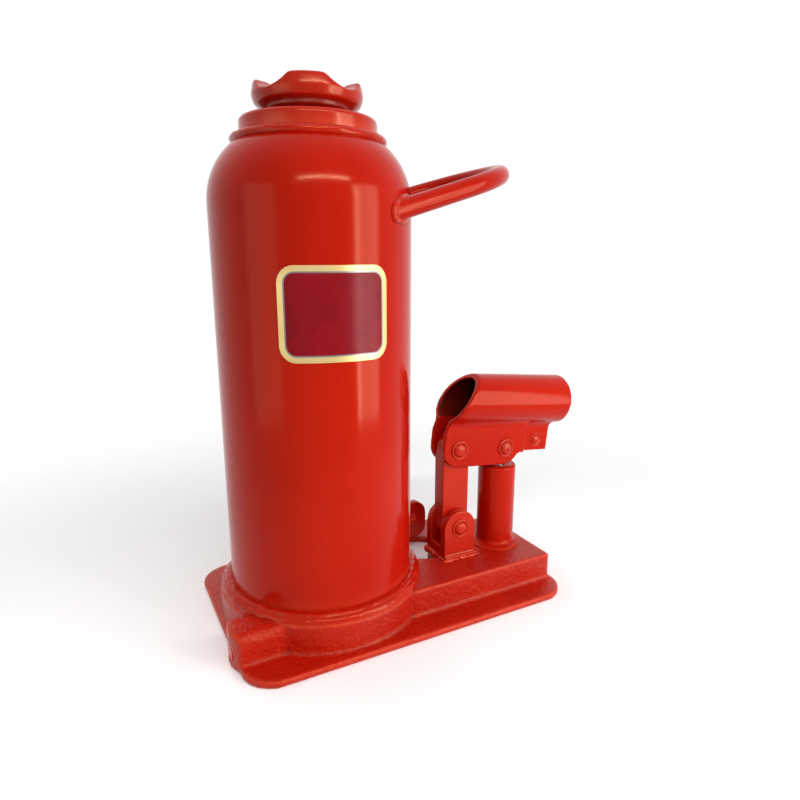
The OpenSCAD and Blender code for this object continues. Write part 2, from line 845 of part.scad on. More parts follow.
module link() {
  color(paint) translate([link_x, pump_y, 0]) difference() {
    union() {
      translate([-link_w / 2, -link_t / 2, bracket_pin_z]) cube([link_w, link_t, link_l]);
      for (z = [bracket_pin_z, link_pin_z]) bar_y(link_w / 2, 0, -link_t / 2, link_t / 2, z);
    }
    bar_y(pin_r + link_open_fit, 0, -link_t, link_t, bracket_pin_z);
    bar_y(pin_r + run_fit, 0, -link_t, link_t, link_pin_z);
  }
}

module link_base_pin() {
  color(paint) translate([link_x, pump_y, bracket_pin_z])
    headed_pin(pin_r, pin_head_r, pin_head_h, bracket_w / 2);
}

module link_socket_pin() {
  color(paint) translate([link_x, pump_y, link_pin_z])
    headed_pin(pin_r, pin_head_r, pin_head_h, cheek_out);
}

module plunger_pin() {
  color(paint) translate([pump_x, pump_y, plunger_pin_z])
    headed_pin(pin_r, pin_head_r, pin_head_h, cheek_out);
}

// Places children in the socket's own frame: origin at the plunger pin, X along the tube
module socket_frame() {
  translate([pump_x, pump_y, plunger_pin_z]) rotate([0, socket_tilt, 0]) children();
}

// Extrudes a section drawn in Y and Z along X from u0 to u1
module along_tube(u0, u1) {
  translate([u0, 0, 0]) rotate([90, 0, 90]) linear_extrude(u1 - u0) children();
}

// Extrudes a side view drawn in X and Z across the socket's width
module across_socket(w) {
  rotate([90, 0, 0]) linear_extrude(2 * w, center = true) children();
}

// Concave fillet of radius r between a wall at half width w and the tube, on the +Y side
module tube_fillet(w, r, v) {
  k = tube_or / (tube_or + r);
  foot = tube_rise + k * (v - tube_rise);
  difference() {
    polygon([[w - sheet_t / 2, v], [w + r, v], [k * (w + r), foot], [w - sheet_t / 2, foot]]);
    translate([w + r, v]) circle(r + fillet_bite);
  }
}

// Section through the walls that hang from the tube between half widths w0 and w1
module wall_section(w0, w1, r, v, bottom) {
  for (side = [0, 1]) mirror([side, 0]) {
    translate([w0, bottom]) square([w1 - w0, tube_rise - tube_ir / 2 - bottom]);
    tube_fillet(w1, r, v);
  }
}

// Side view of the cheeks
module cheek_outline() {
  translate([-pin_spacing, 0]) circle(cheek_r);
  circle(cheek_r);
  translate([-pin_spacing, -cheek_r]) square([pin_spacing, cheek_r]);
  translate([-cheek_left, 0]) square([cheek_left + tab_u, tube_rise]);
  translate([0, tab_bottom]) square([tab_u, -tab_bottom]);
}

// Side view of what the slanted cut takes off the tube's left end
module tube_cut_outline() {
  top = tube_rise + tube_or + 1;
  cut_run = (top - cut_v) / tan(tube_cut);
  middle = [cut_run / 2 - cheek_left, (cut_v + top) / 2];
  half = norm([cut_run, top - cut_v]) / 2;
  reach = sqrt(pow(cut_bow_r, 2) - pow(half, 2));
  difference() {
    polygon([[-cheek_left - 1, cut_v], [-cheek_left, cut_v], [cut_run - cheek_left, top],
             [-cheek_left - 1, top]]);
    translate(middle + reach * [sin(tube_cut), -cos(tube_cut)]) circle(cut_bow_r, $fn = 360);
  }
}

module handle_socket() {
  step_u = tab_u - sheet_t;
  color(paint) socket_frame() difference() {
    union() {
      bar_x(tube_or, -cheek_left, tube_reach, 0, tube_rise);
      intersection() {
        along_tube(-cheek_left, tab_u)
          wall_section(cheek_in, cheek_out, fillet_r, fillet_v, -cheek_r - 1);
        across_socket(tube_or + fillet_r) cheek_outline();
      }
      translate([step_u, -cheek_out, tab_bottom])
        cube([sheet_t, 2 * cheek_out, tube_rise - tube_ir / 2 - tab_bottom]);
      along_tube(step_u, tab_reach)
        wall_section(tab_in, tab_out, tab_fillet_r, tab_fillet_v, tab_bottom);
    }
    across_socket(2 * tube_or) tube_cut_outline();
    bar_x(tube_ir, -cheek_left - 1, tube_reach + 1, 0, tube_rise);
    translate([-cheek_left - 1, -cheek_in, -cheek_r - 1])
      cube([cheek_left + 1 + step_u, 2 * cheek_in, tube_rise + cheek_r + 1]);
    translate([0, -tab_in, tab_bottom - 1])
      cube([tube_reach + 1, 2 * tab_in, tube_rise - tab_bottom]);
    for (u = [-pin_spacing, 0]) bar_y(pin_r + seat_fit, u, -2 * tube_or, 2 * tube_or, 0);
    bar_y(rivet_r + seat_fit, rivet_u, -2 * tube_or, 2 * tube_or, rivet_v);
  }
}

module socket_rivet() {
  color(paint) socket_frame() translate([rivet_u, 0, rivet_v])
    headed_pin(rivet_r, rivet_head_r, rivet_head_h, tab_out);
}

// Release valve

module release_screw() {
  stem_r = stem_d / 2;
  tip_r = 3;
  color(paint) difference() {
    union() {
      bar_x(tip_r, release_tip_x, release_tip_x + 4, release_y, release_z);
      bar_x(stem_r, release_tip_x + 4, wing_x + wing_l / 2, release_y, release_z);
      intersection() {
        translate([wing_x + wing_l / 2, release_y, release_z]) rotate([90, 0, 0])
          linear_extrude(wing_t, center = true) union() {
            for (side = [-1, 1]) translate([0, side * (wing_r - wing_l / 2)]) circle(wing_l / 2);
            translate([-wing_l / 2, -wing_r + wing_l / 2])
              square([wing_l, 2 * wing_r - wing_l]);
          }
        bar_x(wing_r, wing_x - 1, wing_x + wing_l + 1, release_y, release_z);
      }
    }
    translate([release_ring_x, release_y, release_z]) rotate([0, 90, 0])
      ring(stem_d, stem_r - 2 * release_ring_r, -release_ring_r * 1.2, release_ring_r * 1.2);
  }
}

module release_o_ring() {
  color(rubber) translate([release_ring_x, release_y, release_z]) rotate([0, 90, 0])
    rotate_extrude() translate([stem_d / 2 - release_ring_r + touch, 0]) circle(release_ring_r - touch);
}

module release_ball() {
  color(steel) translate([release_ball_x, release_y, release_z]) sphere(release_ball_r);
}

// Valves in the base

module inlet_ball() {
  color(steel) translate([inlet_ball_x, inlet_y, valve_z]) sphere(ball_r);
}

module inlet_spring() {
  color(steel) translate([inlet_spring_x, inlet_y, valve_z])
    coil_spring(spring_r, inlet_plug_x - inlet_spring_x - spring_gap, 6);
}

module inlet_plug() {
  color(dark_steel) bar_x(valve_r - seat_fit, inlet_plug_x, inlet_plug_x + plug_l, inlet_y, valve_z);
}

module discharge_ball() {
  color(steel) translate([discharge_ball_x, discharge_y, valve_z]) sphere(ball_r);
}

module discharge_spring() {
  color(steel) translate([discharge_end_x + spring_gap, discharge_y, valve_z])
    coil_spring(spring_r, discharge_spring_l, 6);
}

module discharge_seat() {
  color(dark_steel) translate([discharge_seat_x, discharge_y, valve_z]) rotate([0, 90, 0])
    ring(valve_r - seat_fit, pilot_r, 0, discharge_seat_l);
}

module delivery_plug() {
  end_x = block_right - plug_recess;
  color(dark_steel) bar_x(valve_r - seat_fit, end_x - delivery_plug_l, end_x, discharge_y, valve_z);
}

module relief_ball() {
  color(steel) translate([relief_ball_x, relief_y, relief_z]) sphere(relief_ball_r);
}

module relief_spring_guide() {
  color(dark_steel)
    bar_x(relief_r - side_fit, relief_guide_x, relief_guide_x + relief_guide_l, relief_y, relief_z);
}

module relief_spring() {
  color(steel) translate([relief_spring_x, relief_y, relief_z])
    coil_spring(relief_r - 1.4, relief_spring_l, 4);
}

module relief_adjuster() {
  color(dark_steel) bar_x(relief_r - seat_fit, relief_adjuster_x,
                          relief_adjuster_x + relief_adjuster_l, relief_y, relief_z);
}

module relief_cap() {
  nose_drop = relief_nose_r - sqrt(pow(relief_nose_r, 2) - pow(relief_r, 2));
  color(paint) bar_x(relief_r - seat_fit, relief_end_x + nose_drop, relief_end_x + relief_cap_l,
                     relief_y, relief_z);
}

module suction_strainer() {
  color(bronze) translate([suction_x, inlet_y, casting_h])
    ring(strainer_r, pilot_r, 0, strainer_h);
}

base();
tank();
carry_handle();
pressure_cylinder();
cylinder_base_seal();
gland_nut();
gland_o_ring();
ram_wiper();
ram_guide_bush();
ram();
piston_cup_seal();
piston_backup_ring();
piston_retainer();
extension_screw();
screw_stop_ring();
saddle();
filler_plug();
filler_washer();
pump_cylinder();
pump_gasket();
pump_plunger();
plunger_cup_seal();
plunger_backup_ring();
plunger_retainer();
plunger_wiper();
link_bracket();
link();
link_base_pin();
link_socket_pin();
plunger_pin();
handle_socket();
socket_rivet();
release_screw();
release_o_ring();
release_ball();
inlet_ball();
inlet_spring();
inlet_plug();
discharge_ball();
discharge_spring();
discharge_seat();
delivery_plug();
relief_ball();
relief_spring();
relief_spring_guide();
relief_adjuster();
relief_cap();
suction_strainer();
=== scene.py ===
"""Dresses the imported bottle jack: soft-edged castings, welds, a threaded screw, enamel and steel."""

import json
import logging
import math
from dataclasses import dataclass
from enum import Enum
from typing import Callable, Iterable, Sequence

import bmesh
import bpy
import numpy as np
from mathutils import Matrix, Vector, noise


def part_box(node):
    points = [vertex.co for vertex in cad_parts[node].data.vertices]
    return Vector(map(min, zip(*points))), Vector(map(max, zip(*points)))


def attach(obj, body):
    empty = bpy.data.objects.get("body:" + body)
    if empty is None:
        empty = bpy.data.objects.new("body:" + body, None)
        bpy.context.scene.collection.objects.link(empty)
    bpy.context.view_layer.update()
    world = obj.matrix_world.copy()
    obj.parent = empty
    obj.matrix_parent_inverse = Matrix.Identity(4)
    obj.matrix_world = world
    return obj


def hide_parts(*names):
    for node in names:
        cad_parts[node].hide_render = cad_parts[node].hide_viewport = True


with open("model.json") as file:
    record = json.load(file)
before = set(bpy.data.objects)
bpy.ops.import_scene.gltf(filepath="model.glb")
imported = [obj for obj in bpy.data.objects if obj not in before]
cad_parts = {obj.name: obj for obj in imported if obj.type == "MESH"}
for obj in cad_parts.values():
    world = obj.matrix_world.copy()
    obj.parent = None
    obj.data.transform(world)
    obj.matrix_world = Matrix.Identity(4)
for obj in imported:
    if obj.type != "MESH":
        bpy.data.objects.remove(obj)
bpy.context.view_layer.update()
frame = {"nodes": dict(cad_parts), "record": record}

LOG = logging.getLogger("bottle_jack")
MM = 0.001

Point = tuple[float, float]
Profile = list[Point]
Color = tuple[float, float, float, float]
Mesh = bpy.types.Mesh
Piece = bpy.types.Object
Material = bpy.types.Material
Tree = bpy.types.NodeTree
Node = bpy.types.Node
Socket = bpy.types.NodeSocket


class Body(Enum):
    """Moving bodies of the jack that the pieces ride on."""

    JACK = "jack_body"
    RAM = "ram_body"
    SCREW = "screw_body"
    SOCKET = "socket_body"
    LINK = "link_body"
    RELEASE = "release_body"


class Slot(Enum):
    """Material slots of the record."""

    ENAMEL = "red_enamel"
    STEEL = "bright_steel"
    DARK = "dark_steel"
    RUBBER = "rubber"
    BRONZE = "bronze"
    COPPER = "copper"


class Blend(Enum):
    """Kinds of mix node, with the places of the two inputs and of the result."""

    NUMBER = ("FLOAT", 2, 3, 0)
    COLOR = ("RGBA", 6, 7, 2)


# Mesh making

FINE_MERGE = 1e-7
SOLID_MERGE = 1e-6
ROD_CREASE = 60.0
OFF_EVERY_PATH = (0.13, 0.27, 0.95)
EASE_FACTOR = 0.5
OVERTONE_SHARE = 0.5
OVERTONE_RATE = 2.7


def add_object(name: str, mesh: Mesh) -> Piece:
    """Puts a mesh into the scene at the origin.

    Args:
        name: Name of the new piece.
        mesh: Mesh that holds the piece's place.

    Returns:
        The new object.
    """
    obj = bpy.data.objects.new(name, mesh)
    bpy.context.scene.collection.objects.link(obj)
    return obj


def tidy_mesh(mesh: Mesh, merge: float = FINE_MERGE) -> None:
    """Merges doubles, drops faces of no area and turns all faces outwards.

    Args:
        mesh: Mesh to mend in place.
        merge: Distance in metres under which points are one.
    """
    work = bmesh.new()
    work.from_mesh(mesh)
    bmesh.ops.remove_doubles(work, verts=work.verts, dist=merge)
    bmesh.ops.dissolve_degenerate(work, edges=work.edges, dist=merge)
    bmesh.ops.recalc_face_normals(work, faces=work.faces)
    work.to_mesh(mesh)
    work.free()
    mesh.update()


def mesh_from(name: str, points: np.ndarray, faces: Iterable[Sequence[int]]) -> Mesh:
    """Makes a closed, outward-facing mesh from points in millimetres.

    Args:
        name: Name of the mesh.
        points: Points, one row each.
        faces: Corner numbers of each face.

    Returns:
        The mesh, in metres.
    """
    mesh = bpy.data.meshes.new(name)
    mesh.from_pydata((np.asarray(points) * MM).tolist(), [], list(faces))
    tidy_mesh(mesh)
    return mesh


def smooth_shade(obj: Piece, crease: float = 40.0) -> Piece:
    """Shades a piece smooth, with its sharp edges kept.

    Args:
        obj: Piece to shade.
        crease: Angle in degrees above which an edge stays sharp.

    Returns:
        The same piece.
    """
    obj.data.polygons.foreach_set("use_smooth", [True] * len(obj.data.polygons))
    obj.data.set_sharp_from_angle(angle=math.radians(crease))
    return obj


def arc(center: Point, radius: float, start: float, end: float, steps: int) -> Profile:
    """Points of an arc in the plane of radius and height.

    Args:
        center: Centre of the arc.
        radius: Radius of the arc.
        start: First angle in degrees.
        end: Last angle in degrees.
        steps: Number of chords.

    Returns:
        The points, both ends included.
    """
    turns = np.radians(np.linspace(start, end, steps + 1))
    return [(center[0] + radius * math.cos(t), center[1] + radius * math.sin(t)) for t in turns]


def ring_faces(rings: int, steps: int, closed: bool) -> list[Sequence[int]]:
    """Faces between neighbouring rings of points.

    Args:
        rings: Number of rings.
        steps: Number of points in each ring.
        closed: Whether the last ring meets the first.

    Returns:
        Corner numbers of each face, ring by ring.
    """
    faces: list[Sequence[int]] = []
    for i in range(rings if closed else rings - 1):
        k = (i + 1) % rings
        for j in range(steps):
            m = (j + 1) % steps
            faces.append((i * steps + j, i * steps + m, k * steps + m, k * steps + j))
    return faces


def row_noise(number: int, row: tuple[float, float, float]) -> float:
    """Noise at a point's number along a row.

    Args:
        number: Number of the point.
        row: Step of each number along X, and the row's place in Y and Z.

    Returns:
        The noise there.
    """
    step, y, z = row
    return noise.noise(Vector((step * number, y, z)))


def lathe(
    name: str,
    profile: Profile,
    segments: int,
    center: Point = (0.0, 0.0),
    shift: Callable[[float, int], Point] | None = None,
) -> Piece:
    """Turns a closed profile about an upright axis.

    Args:
        name: Name of the piece.
        profile: Closed loop of radius and height, in millimetres.
        segments: Number of steps round the axis.
        center: Place of the axis in X and Y.
        shift: Gives, for a turn in radians and a profile point's number, what to add to it.

    Returns:
        The turned piece.
    """
    count = len(profile)
    points = np.zeros((segments * count, 3))
    for i in range(segments):
        turn = 2 * math.pi * i / segments
        for j, (r, z) in enumerate(profile):
            out, up = shift(turn, j) if shift and r > 0 else (0.0, 0.0)
            x = center[0] + (r + out) * math.cos(turn)
            y = center[1] + (r + out) * math.sin(turn)
            points[i * count + j] = (x, y, z + up)
    faces = ring_faces(segments, count, closed=True)
    return smooth_shade(add_object(name, mesh_from(name, points, faces)))


def sweep(
    name: str,
    path: Sequence[Sequence[float]],
    radius: Callable[[int], float],
    sides: int,
    closed: bool = False,
) -> Piece:
    """Runs a round section along a path.

    Args:
        name: Name of the piece.
        path: Points of the path in millimetres.
        radius: Radius at each point's number.
        sides: Sides of the section.
        closed: Whether the path's end joins its start.

    Returns:
        The swept piece.
    """
    path = np.asarray(path, float)
    count = len(path)
    ahead = np.roll(path, -1, 0) - np.roll(path, 1, 0)
    if not closed:
        ahead[0], ahead[-1] = path[1] - path[0], path[-1] - path[-2]
    ahead /= np.linalg.norm(ahead, axis=1)[:, None]
    side = np.cross(ahead[0], OFF_EVERY_PATH)
    points = []
    for i in range(count):
        side = side - ahead[i] * np.dot(side, ahead[i])
        side /= np.linalg.norm(side)
        up = np.cross(ahead[i], side)
        for j in range(sides):
            turn = 2 * math.pi * j / sides
            points.append(path[i] + radius(i) * (math.cos(turn) * side + math.sin(turn) * up))
    faces = ring_faces(count, sides, closed)
    if not closed:
        faces.append(tuple(range(sides)))
        faces.append(tuple(range((count - 1) * sides, count * sides)))
    return smooth_shade(add_object(name, mesh_from(name, np.array(points), faces)), ROD_CREASE)


def applied(obj: Piece) -> Piece:
    """Bakes a piece's modifiers into its mesh and removes them.

    Args:
        obj: Piece with modifiers.

    Returns:
        The same piece, with a plain mesh.
    """
    bpy.context.view_layer.update()
    made = bpy.data.meshes.new_from_object(obj.evaluated_get(bpy.context.evaluated_depsgraph_get()))
    obj.modifiers.clear()
    obj.data = made
    return obj


def soften(node: str, name: str, voxel: float, rounds: int, extra: Sequence[Mesh] = ()) -> Piece:
    """Copies a node's solid and rounds its edges, as casting, forging or thick paint does.

    Args:
        node: Node whose form is copied.
        name: Name of the new piece.
        voxel: Grid size in millimetres.
        rounds: Number of smoothing rounds.
        extra: Closed meshes that are melted into the form.

    Returns:
        The softened piece.
    """
    mesh = frame["nodes"][node].data.copy()
    mesh.name = name
    mesh.materials.clear()
    tidy_mesh(mesh, SOLID_MERGE)
    joined = bmesh.new()
    for form in (mesh, *extra):
        joined.from_mesh(form)
    joined.to_mesh(mesh)
    joined.free()
    obj = add_object(name, mesh)
    grid = obj.modifiers.new("grid", "REMESH")
    grid.mode = "VOXEL"
    grid.voxel_size = voxel * MM
    ease = obj.modifiers.new("ease", "SMOOTH")
    ease.factor = EASE_FACTOR
    ease.iterations = rounds
    applied(obj)
    obj.data.polygons.foreach_set("use_smooth", [True] * len(obj.data.polygons))
    return obj


def roughen(obj: Piece, depth: float, scale: float, floor: float) -> Piece:
    """Moves a casting's points along their normals by a soft noise.

    Args:
        obj: Piece to roughen.
        depth: Depth of the noise in millimetres.
        scale: Size of the noise in waves per metre.
        floor: Height in metres below which nothing moves.

    Returns:
        The same piece.
    """
    mesh = obj.data
    places = np.zeros(3 * len(mesh.vertices), np.float32)
    normals = np.zeros_like(places)
    mesh.vertices.foreach_get("co", places)
    mesh.vertex_normals.foreach_get("vector", normals)
    places = places.reshape(-1, 3)
    waves = np.zeros(len(places), np.float32)
    for i, place in enumerate(places):
        if place[2] > floor:
            at = Vector(place) * scale
            waves[i] = noise.noise(at) + OVERTONE_SHARE * noise.noise(at * OVERTONE_RATE)
    places += normals.reshape(-1, 3) * waves[:, None] * depth * MM
    mesh.vertices.foreach_set("co", places.ravel())
    mesh.update()
    return obj


# Shader parts


def wire(tree: Tree, *pairs: tuple[Socket, Socket]) -> None:
    """Links outputs to inputs.

    Args:
        tree: Node tree that holds the sockets.
        pairs: For each link, an output and the input that it feeds.
    """
    for source, target in pairs:
        tree.links.new(source, target)


def add_mix(tree: Tree, blend: Blend, share: Socket, first: Socket, second: Socket) -> Socket:
    """Adds a blend of two sockets.

    Args:
        tree: Node tree to add it to.
        blend: Whether numbers or colours are mixed.
        share: Share of the second.
        first: Value where the share is 0.
        second: Value where the share is 1.

    Returns:
        The socket of the result.
    """
    kind, at_first, at_second, at_result = blend.value
    node = tree.nodes.new("ShaderNodeMix")
    node.data_type = kind
    wire(tree, (share, node.inputs[0]), (first, node.inputs[at_first]), (second, node.inputs[at_second]))
    return node.outputs[at_result]


def add_noise(tree: Tree, vector: Socket, scale: Socket, detail: float, rough: float) -> Socket:
    """Adds a noise texture.

    Args:
        tree: Node tree to add it to.
        vector: Socket of the place.
        scale: Socket of the noise's scale.
        detail: Number of finer layers.
        rough: Share of each finer layer.

    Returns:
        The socket of the noise.
    """
    node = tree.nodes.new("ShaderNodeTexNoise")
    node.inputs["Detail"].default_value = detail
    node.inputs["Roughness"].default_value = rough
    wire(tree, (vector, node.inputs["Vector"]), (scale, node.inputs["Scale"]))
    return node.outputs["Fac"]


def add_mask(tree: Tree, value: Socket, low: float, high: float) -> Socket:
    """Adds an eased mask.

    Args:
        tree: Node tree to add it to.
        value: Socket that the mask is made from.
        low: Value that gives 0.
        high: Value that gives 1.

    Returns:
        The socket of the mask.
    """
    node = tree.nodes.new("ShaderNodeMapRange")
    node.interpolation_type = "SMOOTHSTEP"
    node.inputs["From Min"].default_value = low
    node.inputs["From Max"].default_value = high
    wire(tree, (value, node.inputs["Value"]))
    return node.outputs["Result"]


def add_gloss(tree: Tree, given: Node, value: Socket) -> Socket:
    """Adds a roughness between a group's two gloss inputs.

    Args:
        tree: Node tree of the group.
        given: Input node of the group.
        value: Socket that runs from 0 to 1.

    Returns:
        The socket of the roughness.
    """
    node = tree.nodes.new("ShaderNodeMapRange")
    wire(
        tree,
        (value, node.inputs["Value"]),
        (given.outputs["Gloss Low"], node.inputs["To Min"]),
        (given.outputs["Gloss High"], node.inputs["To Max"]),
    )
    return node.outputs["Result"]


def add_bump(tree: Tree, shader: Node, height: Socket, depth: float, strength: float) -> None:
    """Feeds a height into a shader's normal.

    Args:
        tree: Node tree of the material.
        shader: Shader that takes the normal.
        height: Socket that gives the height.
        depth: Depth of the relief in metres.
        strength: Share of the relief that shows.
    """
    bump = tree.nodes.new("ShaderNodeBump")
    bump.inputs["Distance"].default_value = depth
    bump.inputs["Strength"].default_value = strength
    wire(tree, (height, bump.inputs["Height"]), (bump.outputs["Normal"], shader.inputs["Normal"]))


def place_group(tree: Tree, group: Tree, place: Socket | None, values: dict[str, float | Color]) -> Node:
    """Places a shared group in a material.

    Args:
        tree: Node tree of the material.
        group: Shared group.
        place: Socket of the coordinates, where the group takes them.
        values: Values of its inputs.

    Returns:
        The group node.
    """
    node = tree.nodes.new("ShaderNodeGroup")
    node.node_tree = group
    for label, value in values.items():
        node.inputs[label].default_value = value
    if place:
        wire(tree, (place, node.inputs["Vector"]))
    return node


def start_material(name: str) -> tuple[Material, Tree, Node, Socket]:
    """Starts a material with a plain shader.

    Args:
        name: Name of the material.

    Returns:
        The material, its tree, its shader and its Object coordinates.
    """
    made = bpy.data.materials.new(name)
    made.use_nodes = True
    tree = made.node_tree
    place = tree.nodes.new("ShaderNodeTexCoord")
    return made, tree, tree.nodes["Principled BSDF"], place.outputs["Object"]


class NodeKit:
    """Shared shader groups, each built once and placed in many finishes."""

    ALONG_AXIS = (0.06, 0.06, 1.0)
    # Pointiness at which each mask is 0, and at which it is 1; the corner mask lays painted shade, the edge
    # mask a painted highlight
    MASKS = (("Corner", 0.49, 0.44), ("Edge", 0.515, 0.575))

    def __init__(self) -> None:
        """Builds every shared group."""
        self.tone = self._tone()
        self.grain = self._grain()
        self.edges = self._edge_highlight_and_corner_shade()
        self.brushing = self._brushing()

    @staticmethod
    def _group(name: str, inputs: dict[str, str], outputs: dict[str, str]) -> tuple[Tree, Node, Node]:
        """Starts a shader group.

        Args:
            name: Name of the group.
            inputs: Names of the sockets going in, with Float, Color or Vector for each.
            outputs: Names of the sockets coming out, in the same way.

        Returns:
            The tree, its input node and its output node.
        """
        tree = bpy.data.node_groups.new(name, "ShaderNodeTree")
        for way, sockets in (("INPUT", inputs), ("OUTPUT", outputs)):
            for label, kind in sockets.items():
                tree.interface.new_socket(name=label, in_out=way, socket_type="NodeSocket" + kind)
        return tree, tree.nodes.new("NodeGroupInput"), tree.nodes.new("NodeGroupOutput")

    def _tone(self) -> Tree:
        """Slow drift between two paint tones, and of the gloss with it.

        Returns:
            The group.
        """
        tree, given, out = self._group(
            "paint_tone",
            {"Vector": "Vector", "Light Tone": "Color", "Deep Tone": "Color", "Scale": "Float",
             "Gloss Low": "Float", "Gloss High": "Float"},
            {"Color": "Color", "Roughness": "Float"},
        )
        wave = add_noise(tree, given.outputs["Vector"], given.outputs["Scale"], detail=3.0, rough=0.55)
        span = add_mask(tree, wave, low=0.25, high=0.75)
        tint = add_mix(tree, Blend.COLOR, span, given.outputs["Light Tone"], given.outputs["Deep Tone"])
        gloss = add_gloss(tree, given, span)
        wire(tree, (tint, out.inputs["Color"]), (gloss, out.inputs["Roughness"]))
        return tree

    def _grain(self) -> Tree:
        """Height of a grainy surface: fine grain on slow lumps.

        Returns:
            The group.
        """
        tree, given, out = self._group(
            "surface_grain",
            {"Vector": "Vector", "Fine Scale": "Float", "Lump Scale": "Float", "Lump Share": "Float"},
            {"Height": "Float"},
        )
        fine = add_noise(tree, given.outputs["Vector"], given.outputs["Fine Scale"], detail=4.0, rough=0.6)
        lump = add_noise(tree, given.outputs["Vector"], given.outputs["Lump Scale"], detail=1.0, rough=0.5)
        height = add_mix(tree, Blend.NUMBER, given.outputs["Lump Share"], fine, lump)
        wire(tree, (height, out.inputs["Height"]))
        return tree

    def _edge_highlight_and_corner_shade(self) -> Tree:
        """Lightens the colour along outer edges as a painted highlight, and darkens it in inner corners as
        painted shade.

        Returns:
            The group.
        """
        tree, given, out = self._group(
            "painted_edge_highlight_and_corner_shade",
            {"Color": "Color", "Edge Tone": "Color", "Corner Tone": "Color", "Edge Share": "Float",
             "Corner Share": "Float"},
            {"Color": "Color"},
        )
        form = tree.nodes.new("ShaderNodeNewGeometry")
        tint = given.outputs["Color"]
        for place, low, high in self.MASKS:
            mask = add_mask(tree, form.outputs["Pointiness"], low, high)
            share = tree.nodes.new("ShaderNodeMath")
            share.operation = "MULTIPLY"
            wire(tree, (mask, share.inputs[0]), (given.outputs[place + " Share"], share.inputs[1]))
            tint = add_mix(tree, Blend.COLOR, share.outputs["Value"], tint, given.outputs[place + " Tone"])
        wire(tree, (tint, out.inputs["Color"]))
        return tree

    def _brushing(self) -> Tree:
        """Fine rings left by turning or grinding, as a change of gloss and height.

        Returns:
            The group.
        """
        tree, given, out = self._group(
            "turning_marks",
            {"Vector": "Vector", "Scale": "Float", "Gloss Low": "Float", "Gloss High": "Float"},
            {"Roughness": "Float", "Height": "Float"},
        )
        squeeze = tree.nodes.new("ShaderNodeMapping")
        squeeze.inputs["Scale"].default_value = self.ALONG_AXIS
        wire(tree, (given.outputs["Vector"], squeeze.inputs["Vector"]))
        wave = add_noise(tree, squeeze.outputs["Vector"], given.outputs["Scale"], detail=3.0, rough=0.6)
        gloss = add_gloss(tree, given, wave)
        wire(tree, (gloss, out.inputs["Roughness"]), (wave, out.inputs["Height"]))
        return tree


# Finishes


@dataclass(frozen=True)
class PaintTones:
    """Tones of one paint: the two that its faces drift between, a lighter one painted on its edges as a
    highlight, and a darker one painted in its corners as shade.
    """

    light: Color
    deep: Color
    edge: Color
    corner: Color


# Its edge tone is a painted highlight and its corner tone is painted shade.
RED = PaintTones(
    light=(0.43, 0.0070, 0.0004, 1.0),
    deep=(0.36, 0.0040, 0.0003, 1.0),
    edge=(0.62, 0.050, 0.018, 1.0),
    corner=(0.085, 0.0008, 0.0002, 1.0),
)
# Darker tones for the bore: painted shade inside the socket's tube.
BORE_SHADE_TONES = PaintTones(
    light=(0.10, 0.0025, 0.0008, 1.0),
    deep=(0.045, 0.0018, 0.0010, 1.0),
    edge=RED.light,
    corner=RED.corner,
)
WARM_GLOSS = (1.0, 0.60, 0.36, 1.0)


@dataclass(frozen=True)
class EnamelFinish:
    """Glossy enamel over sheet, bar or casting. The relief is in metres."""

    name: str
    # Shares of the painted highlight on edges and of the painted shade in corners
    edge_highlight_share: float
    corner_shade_share: float
    gloss: Point
    specular: float
    tone_scale: float
    fine_scale: float
    lump_scale: float
    lump_share: float
    relief: float
    strength: float
    tones: PaintTones = RED
    coat: float = 0.0
    coat_roughness: float = 0.12

    def build(self, kit: NodeKit) -> Material:
        """Makes the material.

        Args:
            kit: Shared shader groups.

        Returns:
            The finished material.
        """
        made, tree, shader, place = start_material(self.name)
        tone = place_group(tree, kit.tone, place, {
            "Light Tone": self.tones.light, "Deep Tone": self.tones.deep, "Scale": self.tone_scale,
            "Gloss Low": self.gloss[0], "Gloss High": self.gloss[1],
        })
        # Painted highlight on outer edges and painted shade in inner corners, found from pointiness
        edges = place_group(tree, kit.edges, None, {
            "Edge Tone": self.tones.edge, "Corner Tone": self.tones.corner,
            "Edge Share": self.edge_highlight_share, "Corner Share": self.corner_shade_share,
        })
        grain = place_group(tree, kit.grain, place, {
            "Fine Scale": self.fine_scale, "Lump Scale": self.lump_scale, "Lump Share": self.lump_share,
        })
        wire(
            tree,
            (tone.outputs["Color"], edges.inputs["Color"]),
            (edges.outputs["Color"], shader.inputs["Base Color"]),
            (tone.outputs["Roughness"], shader.inputs["Roughness"]),
        )
        shader.inputs["Specular IOR Level"].default_value = self.specular
        shader.inputs["Specular Tint"].default_value = WARM_GLOSS
        shader.inputs["Coat Weight"].default_value = self.coat
        shader.inputs["Coat Roughness"].default_value = self.coat_roughness
        add_bump(tree, shader, grain.outputs["Height"], self.relief, self.strength)
        return made


@dataclass(frozen=True)
class MetalFinish:
    """Bare metal with turning marks. The relief is in metres."""

    name: str
    light: Color
    deep: Color
    gloss: Point
    mark_scale: float
    relief: float
    tone_scale: float = 60.0
    strength: float = 0.25

    def build(self, kit: NodeKit) -> Material:
        """Makes the material.

        Args:
            kit: Shared shader groups.

        Returns:
            The finished material.
        """
        made, tree, shader, place = start_material(self.name)
        tone = place_group(tree, kit.tone, place, {
            "Light Tone": self.light, "Deep Tone": self.deep, "Scale": self.tone_scale,
        })
        marks = place_group(tree, kit.brushing, place, {
            "Scale": self.mark_scale, "Gloss Low": self.gloss[0], "Gloss High": self.gloss[1],
        })
        wire(
            tree,
            (tone.outputs["Color"], shader.inputs["Base Color"]),
            (marks.outputs["Roughness"], shader.inputs["Roughness"]),
        )
        shader.inputs["Metallic"].default_value = 1.0
        add_bump(tree, shader, marks.outputs["Height"], self.relief, self.strength)
        return made


